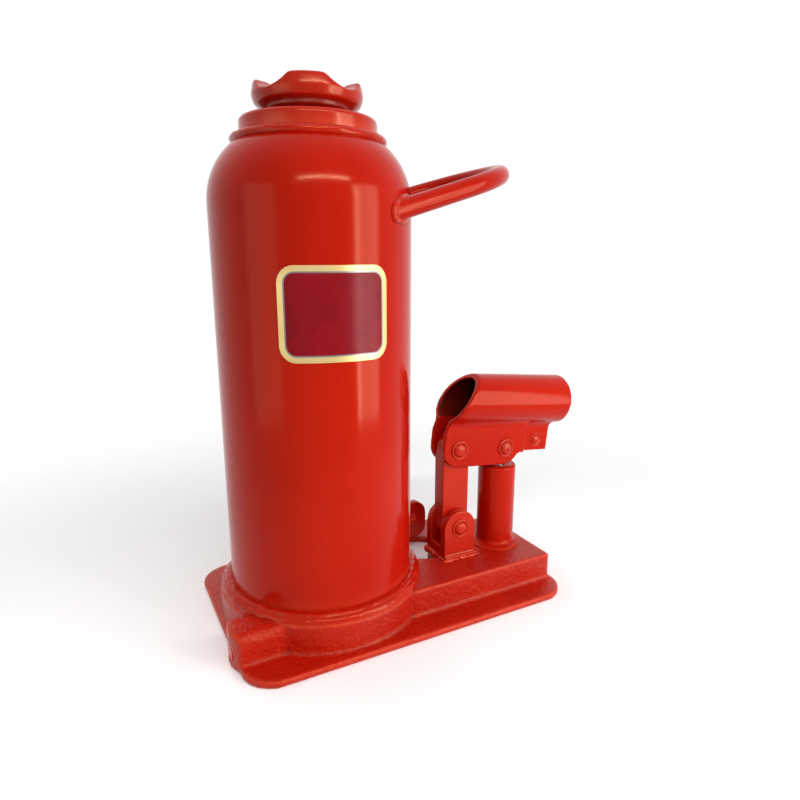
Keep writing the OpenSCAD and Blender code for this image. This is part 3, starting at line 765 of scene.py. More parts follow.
@dataclass(frozen=True)
class PlainFinish:
    """Moulded rubber or printed foil: two tones, a gloss and a fine grain. The relief is in metres."""

    name: str
    light: Color
    deep: Color
    gloss: Point
    relief: float
    metallic: float = 0.0
    coat: float = 0.0
    specular: float = 0.12
    tone_scale: float = 45.0
    fine_scale: float = 1800.0
    lump_scale: float = 150.0
    lump_share: float = 0.3
    strength: float = 0.3

    def build(self, kit: NodeKit) -> Material:
        """Makes the material.

        Args:
            kit: Shared shader groups.

        Returns:
            The finished material.
        """
        made, tree, shader, place = start_material(self.name)
        tone = place_group(tree, kit.tone, place, {
            "Light Tone": self.light, "Deep Tone": self.deep, "Scale": self.tone_scale,
            "Gloss Low": self.gloss[0], "Gloss High": self.gloss[1],
        })
        grain = place_group(tree, kit.grain, place, {
            "Fine Scale": self.fine_scale, "Lump Scale": self.lump_scale, "Lump Share": self.lump_share,
        })
        wire(
            tree,
            (tone.outputs["Color"], shader.inputs["Base Color"]),
            (tone.outputs["Roughness"], shader.inputs["Roughness"]),
        )
        shader.inputs["Metallic"].default_value = self.metallic
        shader.inputs["Specular IOR Level"].default_value = self.specular
        shader.inputs["Coat Weight"].default_value = self.coat
        add_bump(tree, shader, grain.outputs["Height"], self.relief, self.strength)
        return made


class Finishes:
    """All finishes of the jack, built once."""

    def __init__(self) -> None:
        """Builds every material."""
        kit = NodeKit()
        self._paint(kit)
        self._metal(kit)
        self._foil_and_rubber(kit)
        self.by_slot = {
            Slot.ENAMEL: self.sheet, Slot.STEEL: self.steel, Slot.DARK: self.dark,
            Slot.RUBBER: self.rubber, Slot.BRONZE: self.bronze, Slot.COPPER: self.copper,
        }

    def _paint(self, kit: NodeKit) -> None:
        """Builds the enamel on each kind of surface.

        Args:
            kit: Shared shader groups.
        """
        self.sheet = EnamelFinish(
            "enamel_on_sheet", edge_highlight_share=0.30, corner_shade_share=0.6, gloss=(0.12, 0.20), specular=0.20,
            tone_scale=9.0, fine_scale=700.0, lump_scale=120.0, lump_share=0.6, relief=0.00010, strength=0.12,
        ).build(kit)
        self.cast = EnamelFinish(
            "enamel_on_casting", edge_highlight_share=0.90, corner_shade_share=0.9, gloss=(0.20, 0.32), specular=0.36,
            tone_scale=22.0, fine_scale=430.0, lump_scale=190.0, lump_share=0.2, relief=0.0013, strength=0.90,
            coat=0.03,
        ).build(kit)
        self.forged = EnamelFinish(
            "enamel_on_forging", edge_highlight_share=0.75, corner_shade_share=0.8, gloss=(0.16, 0.26), specular=0.40,
            tone_scale=30.0, fine_scale=800.0, lump_scale=260.0, lump_share=0.5, relief=0.0002, strength=0.35,
            coat=0.03,
        ).build(kit)
        self.weld = EnamelFinish(
            "enamel_on_weld", edge_highlight_share=0.60, corner_shade_share=0.9, gloss=(0.12, 0.22), specular=0.34,
            tone_scale=40.0, fine_scale=600.0, lump_scale=300.0, lump_share=0.65, relief=0.0004, strength=0.5,
        ).build(kit)
        # The bore's dark enamel is painted shade.
        self.bore = EnamelFinish(
            "painted_shade_in_bore", edge_highlight_share=0.50, corner_shade_share=0.9, gloss=(0.34, 0.50), specular=0.20,
            tone_scale=60.0, fine_scale=600.0, lump_scale=200.0, lump_share=0.5, relief=0.0003, strength=0.40,
            tones=BORE_SHADE_TONES,
        ).build(kit)

    def _metal(self, kit: NodeKit) -> None:
        """Builds the bare metals.

        Args:
            kit: Shared shader groups.
        """
        self.steel = MetalFinish(
            "ground_steel", (0.66, 0.67, 0.69, 1.0), (0.63, 0.64, 0.66, 1.0),
            gloss=(0.17, 0.21), mark_scale=900.0, relief=0.00002,
        ).build(kit)
        self.thread = MetalFinish(
            "cut_thread_steel", (0.52, 0.52, 0.53, 1.0), (0.40, 0.40, 0.41, 1.0),
            gloss=(0.25, 0.42), mark_scale=700.0, relief=0.00005,
        ).build(kit)
        self.dark = MetalFinish(
            "blackened_steel", (0.20, 0.20, 0.21, 1.0), (0.13, 0.13, 0.135, 1.0),
            gloss=(0.30, 0.48), mark_scale=700.0, relief=0.00005,
        ).build(kit)
        self.bronze = MetalFinish(
            "bearing_bronze", (0.58, 0.36, 0.14, 1.0), (0.46, 0.27, 0.10, 1.0),
            gloss=(0.25, 0.40), mark_scale=600.0, relief=0.00004,
        ).build(kit)
        self.copper = MetalFinish(
            "annealed_copper", (0.64, 0.30, 0.16, 1.0), (0.50, 0.21, 0.11, 1.0),
            gloss=(0.28, 0.45), mark_scale=600.0, relief=0.00004,
        ).build(kit)

    def _foil_and_rubber(self, kit: NodeKit) -> None:
        """Builds the seals' rubber and the label's foils.

        Args:
            kit: Shared shader groups.
        """
        self.rubber = PlainFinish(
            "seal_rubber", (0.030, 0.030, 0.032, 1.0), (0.018, 0.018, 0.020, 1.0),
            gloss=(0.45, 0.62), relief=0.0001,
        ).build(kit)
        self.gold = PlainFinish(
            "gold_foil", (0.66, 0.50, 0.22, 1.0), (0.56, 0.40, 0.15, 1.0),
            gloss=(0.28, 0.40), relief=0.00003, metallic=0.75, coat=0.05,
        ).build(kit)
        self.maroon = PlainFinish(
            "maroon_foil", (0.24, 0.003, 0.009, 1.0), (0.17, 0.002, 0.006, 1.0),
            gloss=(0.20, 0.30), relief=0.00003,
        ).build(kit)


def settle(obj: Piece, material: Material, body: Body, slot: Slot, *nodes: str) -> None:
    """Gives a piece its finish and its body, and hides the nodes that it stands for.

    Args:
        obj: Finished piece.
        material: Its finish, unless it has its own already.
        body: Body that it rides on.
        slot: Material slot of the record; not used.
        nodes: Nodes that it replaces.
    """
    if not obj.data.materials:
        obj.data.materials.append(material)
    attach(obj, body.value)
    if nodes:
        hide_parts(*nodes)
    LOG.info("%s: %d faces on %s", obj.name, len(obj.data.polygons), body.value)


def dress_soft(
    node: str, name: str, voxel: float, rounds: int, material: Material, body: Body = Body.JACK
) -> None:
    """Makes an enamelled piece of a node's softened solid.

    Args:
        node: Node that the piece is made from and replaces.
        name: Name of the piece.
        voxel: Grid size in millimetres.
        rounds: Number of smoothing rounds.
        material: Its finish.
        body: Body that it rides on.
    """
    settle(soften(node, name, voxel, rounds), material, body, Slot.ENAMEL, node)


# Sub-assemblies, with sizes in millimetres

TANK_R = 57.15
CASTING_H = 22.0


@dataclass
class BaseCasting:
    """Cast base with its plate, round pad, pump block and bosses."""

    voxel: float = 1.15
    rounds: int = 7
    skin_depth: float = 0.10
    skin_waves: float = 230.0
    sole_h: float = 1.0

    def build(self, finishes: Finishes) -> None:
        """Makes and dresses the casting.

        Args:
            finishes: All finishes.
        """
        casting = soften("base", "base_casting", self.voxel, self.rounds)
        roughen(casting, self.skin_depth, self.skin_waves, self.sole_h * MM)
        settle(casting, finishes.cast, Body.JACK, Slot.ENAMEL, "base")


@dataclass
class FootWeld:
    """Hand-laid fillet weld between the tank's foot and the casting."""

    tank_r: float = TANK_R
    seat_z: float = CASTING_H
    radius: float = 5.5
    sink: float = 1.0
    drop: float = 0.2
    cut: float = 0.4
    span: float = 96.0
    steps: int = 14
    swell: float = 0.55
    grain: float = 0.42
    ripple: float = 0.10
    ripples: int = 150
    groove: float = 0.55
    groove_w: float = 1.5
    groove_base: float = 0.7
    dip: float = 0.6
    slow: Point = (5.0, 3.1)
    quick: Point = (21.0, 0.21)

    def bead(self) -> Piece:
        """Turns the weld.

        Returns:
            The weld.
        """
        core = (self.tank_r + self.radius / 6, self.seat_z)
        root_r, root_z = self.tank_r - self.sink, self.seat_z - self.drop
        face = arc(core, self.radius, 0, self.span, self.steps)
        profile = [(root_r, root_z), (face[0][0], root_z), *face[1:]]
        profile += [(root_r, self.seat_z + self.radius - self.cut)]
        return lathe("tank_base_weld", profile, segments=320, shift=self._lump)

    def _lump(self, turn: float, number: int) -> Point:
        """Unevenness of the weld: slow swells, grain, ripples and a groove between two runs.

        Args:
            turn: Turn about the axis in radians.
            number: Number of the profile's point.

        Returns:
            What to add to the point's radius and height.
        """
        if not 1 <= number <= self.steps + 1:
            return 0.0, 0.0
        at = Vector((math.cos(turn), math.sin(turn), 0.0))
        slow = noise.noise(at * self.slow[0] + Vector((0, 0, self.slow[1])))
        quick = noise.noise(at * self.quick[0] + Vector((0, 0, self.quick[1] * number)))
        dent = math.exp(-((number - 1 - self.steps / 2) / self.groove_w) ** 2)
        groove = self.groove * dent * (self.groove_base + slow)
        swell = self.swell * slow + self.grain * quick + self.ripple * math.sin(self.ripples * turn) - groove
        tilt = math.radians(self.span * (number - 1) / self.steps)
        rise = max(swell * math.sin(tilt), -self.dip) if number > 1 else 0.0
        return swell * math.cos(tilt), rise


@dataclass
class OilTank:
    """Tank shell with its rounded shoulder, its foot weld and the bead that closes its neck."""

    radius: float = TANK_R
    wall: float = 4.5
    foot_z: float = CASTING_H
    shoulder_z: float = 250.0
    shoulder_r: float = 41.5
    side_margin: float = 12.0
    neck_r: float = 42.0
    neck_lip: float = 4.0
    neck_taper: float = 1.2
    neck_bore: float = 37.1
    bead_r: float = 2.4
    bead_close: float = 345.0
    bead_waves: float = 9.0
    bead_row: float = 0.3
    bead_overtone: float = 4.0
    bead_swell: float = 0.26
    bead_grain: float = 0.16

    @property
    def neck_z(self) -> float:
        """Height at which the shoulder meets the neck."""
        run = self.neck_r - (self.radius - self.shoulder_r)
        return self.shoulder_z + math.sqrt(self.shoulder_r ** 2 - run ** 2)

    def shell(self) -> Piece:
        """Turns the tank's wall with its rounded shoulder and neck lip.

        Returns:
            The shell.
        """
        middle = (self.radius - self.shoulder_r, self.shoulder_z)
        end = math.degrees(math.asin((self.neck_z - self.shoulder_z) / self.shoulder_r))
        inner_r = self.shoulder_r - self.wall
        inner_end = math.degrees(math.acos((self.neck_bore - middle[0]) / inner_r))
        heights = np.linspace(self.foot_z + self.side_margin, self.shoulder_z - self.side_margin, 10)
        lip_z = self.neck_z + self.neck_lip
        profile = [(self.radius, self.foot_z), *((self.radius, z) for z in heights)]
        profile += arc(middle, self.shoulder_r, 0, end, steps=28)
        profile += [(self.neck_r - self.neck_taper, lip_z), (self.neck_bore, lip_z)]
        profile += arc(middle, inner_r, inner_end, 0, steps=16)
        profile += [(self.radius - self.wall, self.foot_z)]
        return lathe("tank_shell", profile, segments=224)

    def neck_bead(self) -> Piece:
        """Turns the bead that closes the neck.

        Returns:
            The bead.
        """
        core = (self.neck_r - self.bead_r / 2, self.neck_z + self.neck_lip - self.bead_r)
        profile = arc(core, self.bead_r, 0, self.bead_close, steps=23)
        return lathe("tank_neck_bead", profile, segments=240, shift=self._bead_lump)

    def _bead_lump(self, turn: float, number: int) -> Point:
        """Unevenness of the neck's bead.

        Args:
            turn: Turn about the axis in radians.
            number: Number of the profile's point.

        Returns:
            What to add to the point's radius and height.
        """
        waves = self.bead_waves
        at = Vector((math.cos(turn) * waves, math.sin(turn) * waves, self.bead_row * number))
        swell = self.bead_swell * noise.noise(at) + self.bead_grain * noise.noise(at * self.bead_overtone)
        return swell, swell / 2

    def build(self, finishes: Finishes) -> None:
        """Makes and dresses the shell, its weld and its bead.

        Args:
            finishes: All finishes.
        """
        settle(self.shell(), finishes.sheet, Body.JACK, Slot.ENAMEL, "tank")
        settle(FootWeld().bead(), finishes.weld, Body.JACK, Slot.ENAMEL)
        settle(self.neck_bead(), finishes.weld, Body.JACK, Slot.ENAMEL)


@dataclass
class FillerPort:
    """Filler boss on the tank's rear, and its plug."""

    seat: tuple[float, float, float] = (0.0, TANK_R, 222.0)
    radius: float = 11.0
    reach: float = 3.0
    bore_r: float = 6.2
    sink: float = 6.0
    edge: float = 0.8
    root: tuple[Point, ...] = ((1.6, -1.2), (0.5, 0.0), (0.0, 0.9))
    plug_voxel: float = 0.35
    plug_rounds: int = 4

    def boss(self) -> Piece:
        """Turns the boss with a fillet at its root.

        Returns:
            The boss.
        """
        profile = [(self.bore_r, -self.sink), *((self.radius + out, up) for out, up in self.root)]
        profile += [(self.radius, self.reach - self.edge), (self.radius - self.edge, self.reach)]
        profile += [(self.bore_r, self.reach)]
        boss = lathe("filler_boss", profile, segments=72)
        turned = Matrix.Rotation(math.radians(-90), 4, "X")
        boss.data.transform(Matrix.Translation(Vector(self.seat) * MM) @ turned)
        return boss

    def build(self, finishes: Finishes) -> None:
        """Makes and dresses the boss and the plug from all finishes."""
        settle(self.boss(), finishes.sheet, Body.JACK, Slot.ENAMEL)
        dress_soft("filler_plug", "filler_plug_screw", self.plug_voxel, self.plug_rounds, finishes.forged)


@dataclass
class TankLabel:
    """Plain label with a foil border and a dark line, laid round the tank's front."""

    tank_r: float = TANK_R
    turn: float = -98.5
    middle_z: float = 193.5
    width: float = 60.0
    height: float = 49.0
    thickness: float = 0.22
    lift: float = 0.05
    corner: float = 9.0
    border: float = 3.0
    line: float = 0.8
    seam: float = 0.01
    fill: tuple[float, float, int] = (0.92, 0.08, 12)
    corner_steps: int = 12
    side_steps: int = 26
    crease: float = 50.0

    def sheet(self, finishes: Finishes) -> Piece:
        """Lays the label.

        Args:
            finishes: All finishes.

        Returns:
            The label, a thin closed sheet with its own finishes.
        """
        inner = self.border + self.line
        insets = (0.0, self.border, self.border + self.seam, inner, inner + self.seam)
        rings = [self._ring(inset) for inset in insets]
        rings += [rings[-1] * share for share in np.linspace(*self.fill)]
        steps = len(rings[0])
        points = np.concatenate([*rings, np.zeros((1, 2))])
        turns = math.radians(self.turn) + points[:, 0] / self.tank_r
        reach = self.tank_r + self.lift
        place = np.stack([reach * np.cos(turns), reach * np.sin(turns), self.middle_z + points[:, 1]], 1)
        gold, maroon, dark = range(3)
        bands = [gold, gold, dark, dark] + [maroon] * (len(rings) - len(insets))
        faces = ring_faces(len(rings), steps, closed=False)
        rim = len(bands) * steps
        faces += [(rim + j, rim + (j + 1) % steps, len(points) - 1) for j in range(steps)]
        mesh = bpy.data.meshes.new("tank_label")
        mesh.from_pydata((place * MM).tolist(), [], faces)
        mesh.polygons.foreach_set("material_index", np.repeat([*bands, maroon], steps))
        mesh.update()
        obj = add_object("tank_label", mesh)
        for material in (finishes.gold, finishes.maroon, finishes.dark):
            mesh.materials.append(material)
        if mesh.polygons[0].normal.y > 0:
            mesh.flip_normals()
        thick = obj.modifiers.new("thick", "SOLIDIFY")
        thick.thickness = self.thickness * MM
        thick.offset = 1.0
        return smooth_shade(applied(obj), self.crease)

    def _ring(self, inset: float) -> np.ndarray:
        """Outline of the label, drawn in from its edge.

        Args:
            inset: Distance from the edge.

        Returns:
            Points of the rounded outline, across and up.
        """
        corner = self.corner - inset
        half = (self.width / 2 - inset - corner, self.height / 2 - inset - corner)
        ring: Profile = []
        sides = ((1, -1), (1, 1), (-1, 1), (-1, -1))
        for k, (sx, sy) in enumerate(sides):
            ring += arc((sx * half[0], sy * half[1]), corner, 90 * (k - 1), 90 * k, self.corner_steps)
            ax, ay = ring[-1]
            nx, ny = sides[(k + 1) % 4]
            turn = math.radians(90 * k)
            bx, by = nx * half[0] + corner * math.cos(turn), ny * half[1] + corner * math.sin(turn)
            shares = np.linspace(0, 1, self.side_steps)[1:-1]
            ring += [(ax + (bx - ax) * share, ay + (by - ay) * share) for share in shares]
        return np.array(ring)

    def build(self, finishes: Finishes) -> None:
        """Makes and settles the label from all finishes."""
        settle(self.sheet(finishes), finishes.maroon, Body.JACK, Slot.ENAMEL)


@dataclass
class CarryHandle:
    """Bent rod welded to the tank."""

    rod_r: float = 5.5
    half_w: float = 45.0
    leg: float = 44.0
    rise: float = 17.0
    root_z: float = 246.7
    tank_r: float = TANK_R
    sink: float = 12.0
    weld_r: float = 1.9
    weld_bite: float = 0.98
    weld_points: int = 72
    weld_ripple: float = 0.07
    weld_ripples: int = 9
    weld_waves: float = 1.6
    weld_swell: float = 0.8

    @property
    def root_x(self) -> float:
        """Distance of the roots from the ram axis along X."""
        return math.sqrt(self.tank_r ** 2 - self.half_w ** 2)

    def place(self, u: float, v: float, w: float = 0.0) -> np.ndarray:
        """Point of the handle's own plane in the jack's frame.

        Args:
            u: Distance out along the legs.
            v: Distance across.
            w: Height above the plane.

        Returns:
            The point in millimetres.
        """
        tilt = math.radians(self.rise)
        x = self.root_x + u * math.cos(tilt) - w * math.sin(tilt)
        z = self.root_z + u * math.sin(tilt) + w * math.cos(tilt)
        return np.array([x, v, z])

    def rod(self) -> Piece:
        """Sweeps the rod round its two legs and its bend.

        Returns:
            The rod.
        """
        along = np.linspace(-self.sink, self.leg, 12)
        path = [self.place(u, -self.half_w) for u in along]
        for t in np.radians(np.linspace(-90, 90, 61))[1:-1]:
            path.append(self.place(self.leg + self.half_w * math.cos(t), self.half_w * math.sin(t)))
        path += [self.place(u, self.half_w) for u in reversed(along)]
        return sweep("carry_handle_rod", path, lambda i: self.rod_r, sides=40)

    def root_weld(self, name: str, side: int) -> Piece:
        """Lays the bead where one leg meets the tank.

        Args:
            name: Name of the bead.
            side: -1 for the front leg, 1 for the rear one.

        Returns:
            The bead.
        """
        tilt = math.radians(self.rise)
        turns = np.linspace(0, 2 * math.pi, self.weld_points, endpoint=False)
        path = []
        for t in turns:
            v = side * self.half_w + self.rod_r * self.weld_bite * math.cos(t)
            w = self.rod_r * self.weld_bite * math.sin(t)
            reach = math.sqrt(max(self.tank_r ** 2 - v ** 2, 0.0))
            u = (reach - self.root_x + w * math.sin(tilt)) / math.cos(tilt)
            path.append(self.place(u, v, w))

        def ripple(number: int) -> float:
            """Uneven radius of the bead.

            Args:
                number: Number of the path's point.

            Returns:
                The radius there.
            """
            t = turns[number]
            slow = noise.noise(Vector((math.cos(t) * self.weld_waves, math.sin(t) * self.weld_waves, side)))
            wave = math.sin(self.weld_ripples * t + side)
            return self.weld_r + self.weld_ripple * wave + self.weld_swell * slow

        return sweep(name, path, ripple, sides=16, closed=True)

    def build(self, finishes: Finishes) -> None:
        """Makes and dresses the handle.

        Args:
            finishes: All finishes.
        """
        settle(self.rod(), finishes.sheet, Body.JACK, Slot.ENAMEL, "carry_handle")
        for name, side in (("handle_weld_front", -1), ("handle_weld_rear", 1)):
            settle(self.root_weld(name, side), finishes.weld, Body.JACK, Slot.ENAMEL)


@dataclass
class Lift:
    """Gland nut, ram, extension screw and saddle."""

    collar_h: float = 9.0
    collar_edge: float = 2.5
    collar_lead: float = 0.8
    skirt_r: float = 29.9
    wiper_in: float = 3.6
    wiper_h: float = 5.6
    wiper_mouth: float = 1.0
    ram_slack: float = 0.4
    bush_in: float = 2.1
    bush_h: float = 24.1
    ram_r: float = 25.0
    ram_nose: float = 1.2
    tail_r: float = 20.0
    tail_l: float = 13.0
    piston_r: float = 29.92
    piston_top: float = 27.0
    nut_slack: float = 0.15
    nut_mouth: float = 1.0
    nut_l: float = 27.5
    well_in: float = 2.2
    well_l: float = 120.0
    screw_r: float = 18.0
    screw_edge: float = 0.6
    screw_steps: int = 72
    screw_crease: float = 35.0
    pitch: float = 5.0
    thread_depth: float = 1.7
    thread_root: float = 0.12
    thread_flank: float = 0.16
    thread_row: float = 0.5
    plain_top: float = 4.0
    ring_z: float = 3.0
    ring_w: float = 4.0
    ring_depth: float = 3.0
    spigot_r: float = 12.0
    spigot_l: float = 7.0
    sharp: float = 0.001
    saddle_voxel: float = 0.5
    saddle_rounds: int = 60

    def gland(self) -> Piece:
        """Turns the gland nut with its rounded collar.

        Returns:
            The nut.
        """
        low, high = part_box("gland_nut")
        r, top, foot = high.x / MM, high.z / MM, low.z / MM
        seat, edge, lead = top - self.collar_h, self.collar_edge, self.collar_lead
        wiper_r, slide_r, bush_r = (self.ram_r + add for add in (self.wiper_in, self.ram_slack, self.bush_in))
        profile = [(r - lead, seat), (r, seat + lead), *arc((r - edge, top - edge), edge, 0, 90, steps=10)]
        profile += [(wiper_r + self.wiper_mouth, top), (wiper_r, top - lead)]
        profile += [(wiper_r, top - self.wiper_h), (slide_r, top - self.wiper_h)]
        profile += [(slide_r, foot + self.bush_h), (bush_r, foot + self.bush_h)]
        profile += [(bush_r, foot), (self.skirt_r, foot), (self.skirt_r, seat)]
        return lathe("gland_collar", profile, segments=192)

    def ram(self) -> Piece:
        """Turns the ground ram with its piston and its chamfered nose.

        Returns:
            The ram.
        """
        low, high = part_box("ram")
        foot, top = low.z / MM, high.z / MM
        nut_r, well_r = self.screw_r + self.nut_slack, self.screw_r + self.well_in
        profile = [(0.0, foot), (self.tail_r, foot), (self.tail_r, foot + self.tail_l)]
        profile += [(self.piston_r, foot + self.tail_l), (self.piston_r, foot + self.piston_top)]
        profile += [(self.ram_r, foot + self.piston_top), (self.ram_r, top - self.ram_nose)]
        profile += [(self.ram_r - self.ram_nose, top), (self.screw_r + self.ram_nose, top)]
        profile += [(nut_r, top - self.nut_mouth), (nut_r, top - self.nut_l), (well_r, top - self.nut_l)]
        profile += [(well_r, top - self.well_l), (0.0, top - self.well_l)]
        return lathe("ram_shaft", profile, segments=176)

    def screw(self) -> Piece:
        """Cuts the extension screw's thread as real flanks that climb round the bar.

        Returns:
            The screw.
        """
        low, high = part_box("extension_screw")
        foot, top = low.z / MM, high.z / MM
        neck, edge, row = top - self.spigot_l, self.screw_edge, self.thread_row
        ring_low, ring_high = foot + self.ring_z, foot + self.ring_z + self.ring_w
        rows = [foot, foot + edge, *np.arange(foot + 2 * edge, ring_low, edge)]
        rows += [ring_low, ring_low + self.sharp, ring_high - self.sharp, ring_high]
        rows += [*np.arange(ring_high + row, neck - 2 * row, row), neck - row]
        rows += [neck, neck + self.sharp, top - edge, top]
        steps, name = self.screw_steps, "screw_thread"
        points = []
        for z in rows:
            for i in range(steps):
                turn = 2 * math.pi * i / steps
                r = self._screw_radius(z, turn, foot, top)
                points.append((r * math.cos(turn), r * math.sin(turn), z))
        points += [(0.0, 0.0, foot), (0.0, 0.0, top)]
        faces = ring_faces(len(rows), steps, closed=False)
        last = (len(rows) - 1) * steps
        for i in range(steps):
            k = (i + 1) % steps
            faces.append((len(points) - 2, k, i))
            faces.append((len(points) - 1, last + i, last + k))
        return smooth_shade(add_object(name, mesh_from(name, np.array(points), faces)), self.screw_crease)

    def _screw_radius(self, z: float, turn: float, foot: float, top: float) -> float:
        """Radius of the screw's surface at a height and a turn.

        Args:
            z: Height.
            turn: Turn about the axis in radians.
            foot: Height of the screw's foot.
            top: Height of the spigot's end.

        Returns:
            The radius there.
        """
        neck = top - self.spigot_l
        ring_low, ring_high = foot + self.ring_z, foot + self.ring_z + self.ring_w
        if z > neck:
            return self.spigot_r - max(0.0, z - (top - self.screw_edge))
        if ring_low < z < ring_high:
            return self.screw_r - self.ring_depth
        if z < ring_high + self.thread_row or z > neck - self.plain_top:
            return self.screw_r - max(0.0, foot + self.screw_edge - z)
        phase = ((z - self.pitch * turn / (2 * math.pi)) / self.pitch) % 1.0
        flank = min(max((abs(phase - 0.5) - self.thread_root) / self.thread_flank, 0.0), 1.0)
        return self.screw_r - self.thread_depth * (1.0 - flank)

    def build(self, finishes: Finishes) -> None:
        """Makes and dresses the lift.

        Args:
            finishes: All finishes.
        """
        settle(self.gland(), finishes.forged, Body.JACK, Slot.ENAMEL, "gland_nut")
        settle(self.ram(), finishes.steel, Body.RAM, Slot.STEEL, "ram")
        settle(self.screw(), finishes.thread, Body.SCREW, Slot.STEEL, "extension_screw")
        dress_soft(
            "saddle", "saddle_forging", self.saddle_voxel, self.saddle_rounds, finishes.forged, Body.SCREW
        )


class PinTree:
    """Geometry tree of a headed pin: a shank, and on each end a dome with a rolled collar round it."""

    INPUTS = ("Shank Radius", "Head Radius", "Head Height", "Half Width")
    # Height and inset from the head's radius at each ring of the dome, as shares of the head's height
    DOME = ((0.0, 0.64), (0.35, 0.69), (0.55, 0.80), (0.72, 0.98), (0.85, 1.22), (0.95, 1.55), (1.0, 1.95))
    COLLAR_R = 0.29
    COLLAR_Z = 0.12
    SHANK_SIDES = 40
    DOME_SIDES = 48
    COLLAR_SIDES = (64, 16)
    CREASE = 28.0

    def __init__(self, material: Material) -> None:
        """Builds the tree.

        Args:
            material: Finish of the pins.
        """
        tree = bpy.data.node_groups.new("headed_pin", "GeometryNodeTree")
        for label in self.INPUTS:
            tree.interface.new_socket(name=label, in_out="INPUT", socket_type="NodeSocketFloat")
        tree.interface.new_socket(name="Geometry", in_out="OUTPUT", socket_type="NodeSocketGeometry")
        self.tree = tree
        given = tree.nodes.new("NodeGroupInput")
        self.shank_r, self.wide, self.tall, self.half = (given.outputs[label] for label in self.INPUTS)
        join = tree.nodes.new("GeometryNodeJoinGeometry")
        real = tree.nodes.new("GeometryNodeRealizeInstances")
        paint = tree.nodes.new("GeometryNodeSetMaterial")
        paint.inputs["Material"].default_value = material
        wire(
            tree,
            (self._heads(), join.inputs[0]),
            (self._shank(), join.inputs[0]),
            (join.outputs[0], real.inputs[0]),
            (real.outputs[0], paint.inputs[0]),
            (paint.outputs[0], tree.nodes.new("NodeGroupOutput").inputs[0]),
        )

    def _math(self, operation: str, first: float | Socket, second: float | Socket) -> Socket:
        """Adds a sum to the tree.

        Args:
            operation: Kind of sum.
            first: First value or socket.
            second: Second value or socket.

        Returns:
            The socket of the result.
        """
        node = self.tree.nodes.new("ShaderNodeMath")
        node.operation = operation
        for socket, value in zip(node.inputs, (first, second)):
            if isinstance(value, float):
                socket.default_value = value
            else:
                wire(self.tree, (value, socket))
        return node.outputs[0]

    def _vector(self, axis: str, value: Socket) -> Socket:
        """Adds a vector along one axis.

        Args:
            axis: Name of the axis.
            value: Socket of the length.

        Returns:
            The socket of the vector.
        """
        node = self.tree.nodes.new("ShaderNodeCombineXYZ")
        wire(self.tree, (value, node.inputs[axis]))
        return node.outputs[0]

    def _lifted(self, mesh: Socket, share: float) -> Socket:
        """Adds a move along the pin.

        Args:
            mesh: Socket of the mesh.
            share: Distance, as a share of the head's height.

        Returns:
            The socket of the moved mesh.
        """
        node = self.tree.nodes.new("GeometryNodeTransform")
        offset = self._vector("Z", self._math("MULTIPLY", self.tall, share))
        wire(self.tree, (mesh, node.inputs["Geometry"]), (offset, node.inputs["Translation"]))
        return node.outputs["Geometry"]

    def _shank(self) -> Socket:
        """Adds the shank.

        Returns:
            The socket of its mesh, centred on the origin.
        """
        node = self.tree.nodes.new("GeometryNodeMeshCylinder")
        node.inputs["Vertices"].default_value = self.SHANK_SIDES
        length = self._math("MULTIPLY", self.half, 2.0)
        wire(self.tree, (self.shank_r, node.inputs["Radius"]), (length, node.inputs["Depth"]))
        return node.outputs["Mesh"]

    def _heads(self) -> Socket:
        """Places a head on each end of the shank, the first one turned over.

        Returns:
            The socket of the two instances.
        """
        ends = self.tree.nodes.new("GeometryNodeMeshLine")
        ends.mode = "END_POINTS"
        ends.inputs["Count"].default_value = 2
        number = self.tree.nodes.new("GeometryNodeInputIndex")
        flip = self._math("SUBTRACT", 1.0, number.outputs[0])
        spread = self.tree.nodes.new("GeometryNodeInstanceOnPoints")
        wire(
            self.tree,
            (self._vector("Z", self._math("MULTIPLY", self.half, -1.0)), ends.inputs["Start Location"]),
            (self._vector("Z", self.half), ends.inputs["Offset"]),
            (ends.outputs["Mesh"], spread.inputs["Points"]),
            (self._head(), spread.inputs["Instance"]),
            (self._vector("X", self._math("MULTIPLY", flip, math.pi)), spread.inputs["Rotation"]),
        )
        return spread.outputs["Instances"]

    def _head(self) -> Socket:
        """Stacks rings of falling radius into a dome, and lays the collar round it.

        Returns:
            The socket of one head's mesh, standing up from its seat.
        """
        join = self.tree.nodes.new("GeometryNodeJoinGeometry")
        for (low, low_inset), (high, high_inset) in zip(self.DOME, self.DOME[1:]):
            cone = self.tree.nodes.new("GeometryNodeMeshCone")
            cone.inputs["Vertices"].default_value = self.DOME_SIDES
            for label, inset in (("Radius Bottom", low_inset), ("Radius Top", high_inset)):
                radius = self._math("SUBTRACT", self.wide, self._math("MULTIPLY", self.tall, inset))
                wire(self.tree, (radius, cone.inputs[label]))
            wire(self.tree, (self._math("MULTIPLY", self.tall, high - low), cone.inputs["Depth"]))
            wire(self.tree, (self._lifted(cone.outputs["Mesh"], low), join.inputs[0]))
        wire(self.tree, (self._collar(), join.inputs[0]))
        return join.outputs[0]

    def _collar(self) -> Socket:
        """Adds the rolled collar, which leaves a groove round the dome.

        Returns:
            The socket of the collar's mesh.
        """
        thick = self._math("MULTIPLY", self.tall, self.COLLAR_R)
        solid = self.tree.nodes.new("GeometryNodeCurveToMesh")
        radii = (self._math("SUBTRACT", self.wide, thick), thick)
        for label, radius, sides in zip(("Curve", "Profile Curve"), radii, self.COLLAR_SIDES):
            ring = self.tree.nodes.new("GeometryNodeCurvePrimitiveCircle")
            ring.inputs["Resolution"].default_value = sides
            wire(self.tree, (radius, ring.inputs["Radius"]), (ring.outputs["Curve"], solid.inputs[label]))
        return self._lifted(solid.outputs["Mesh"], self.COLLAR_Z)

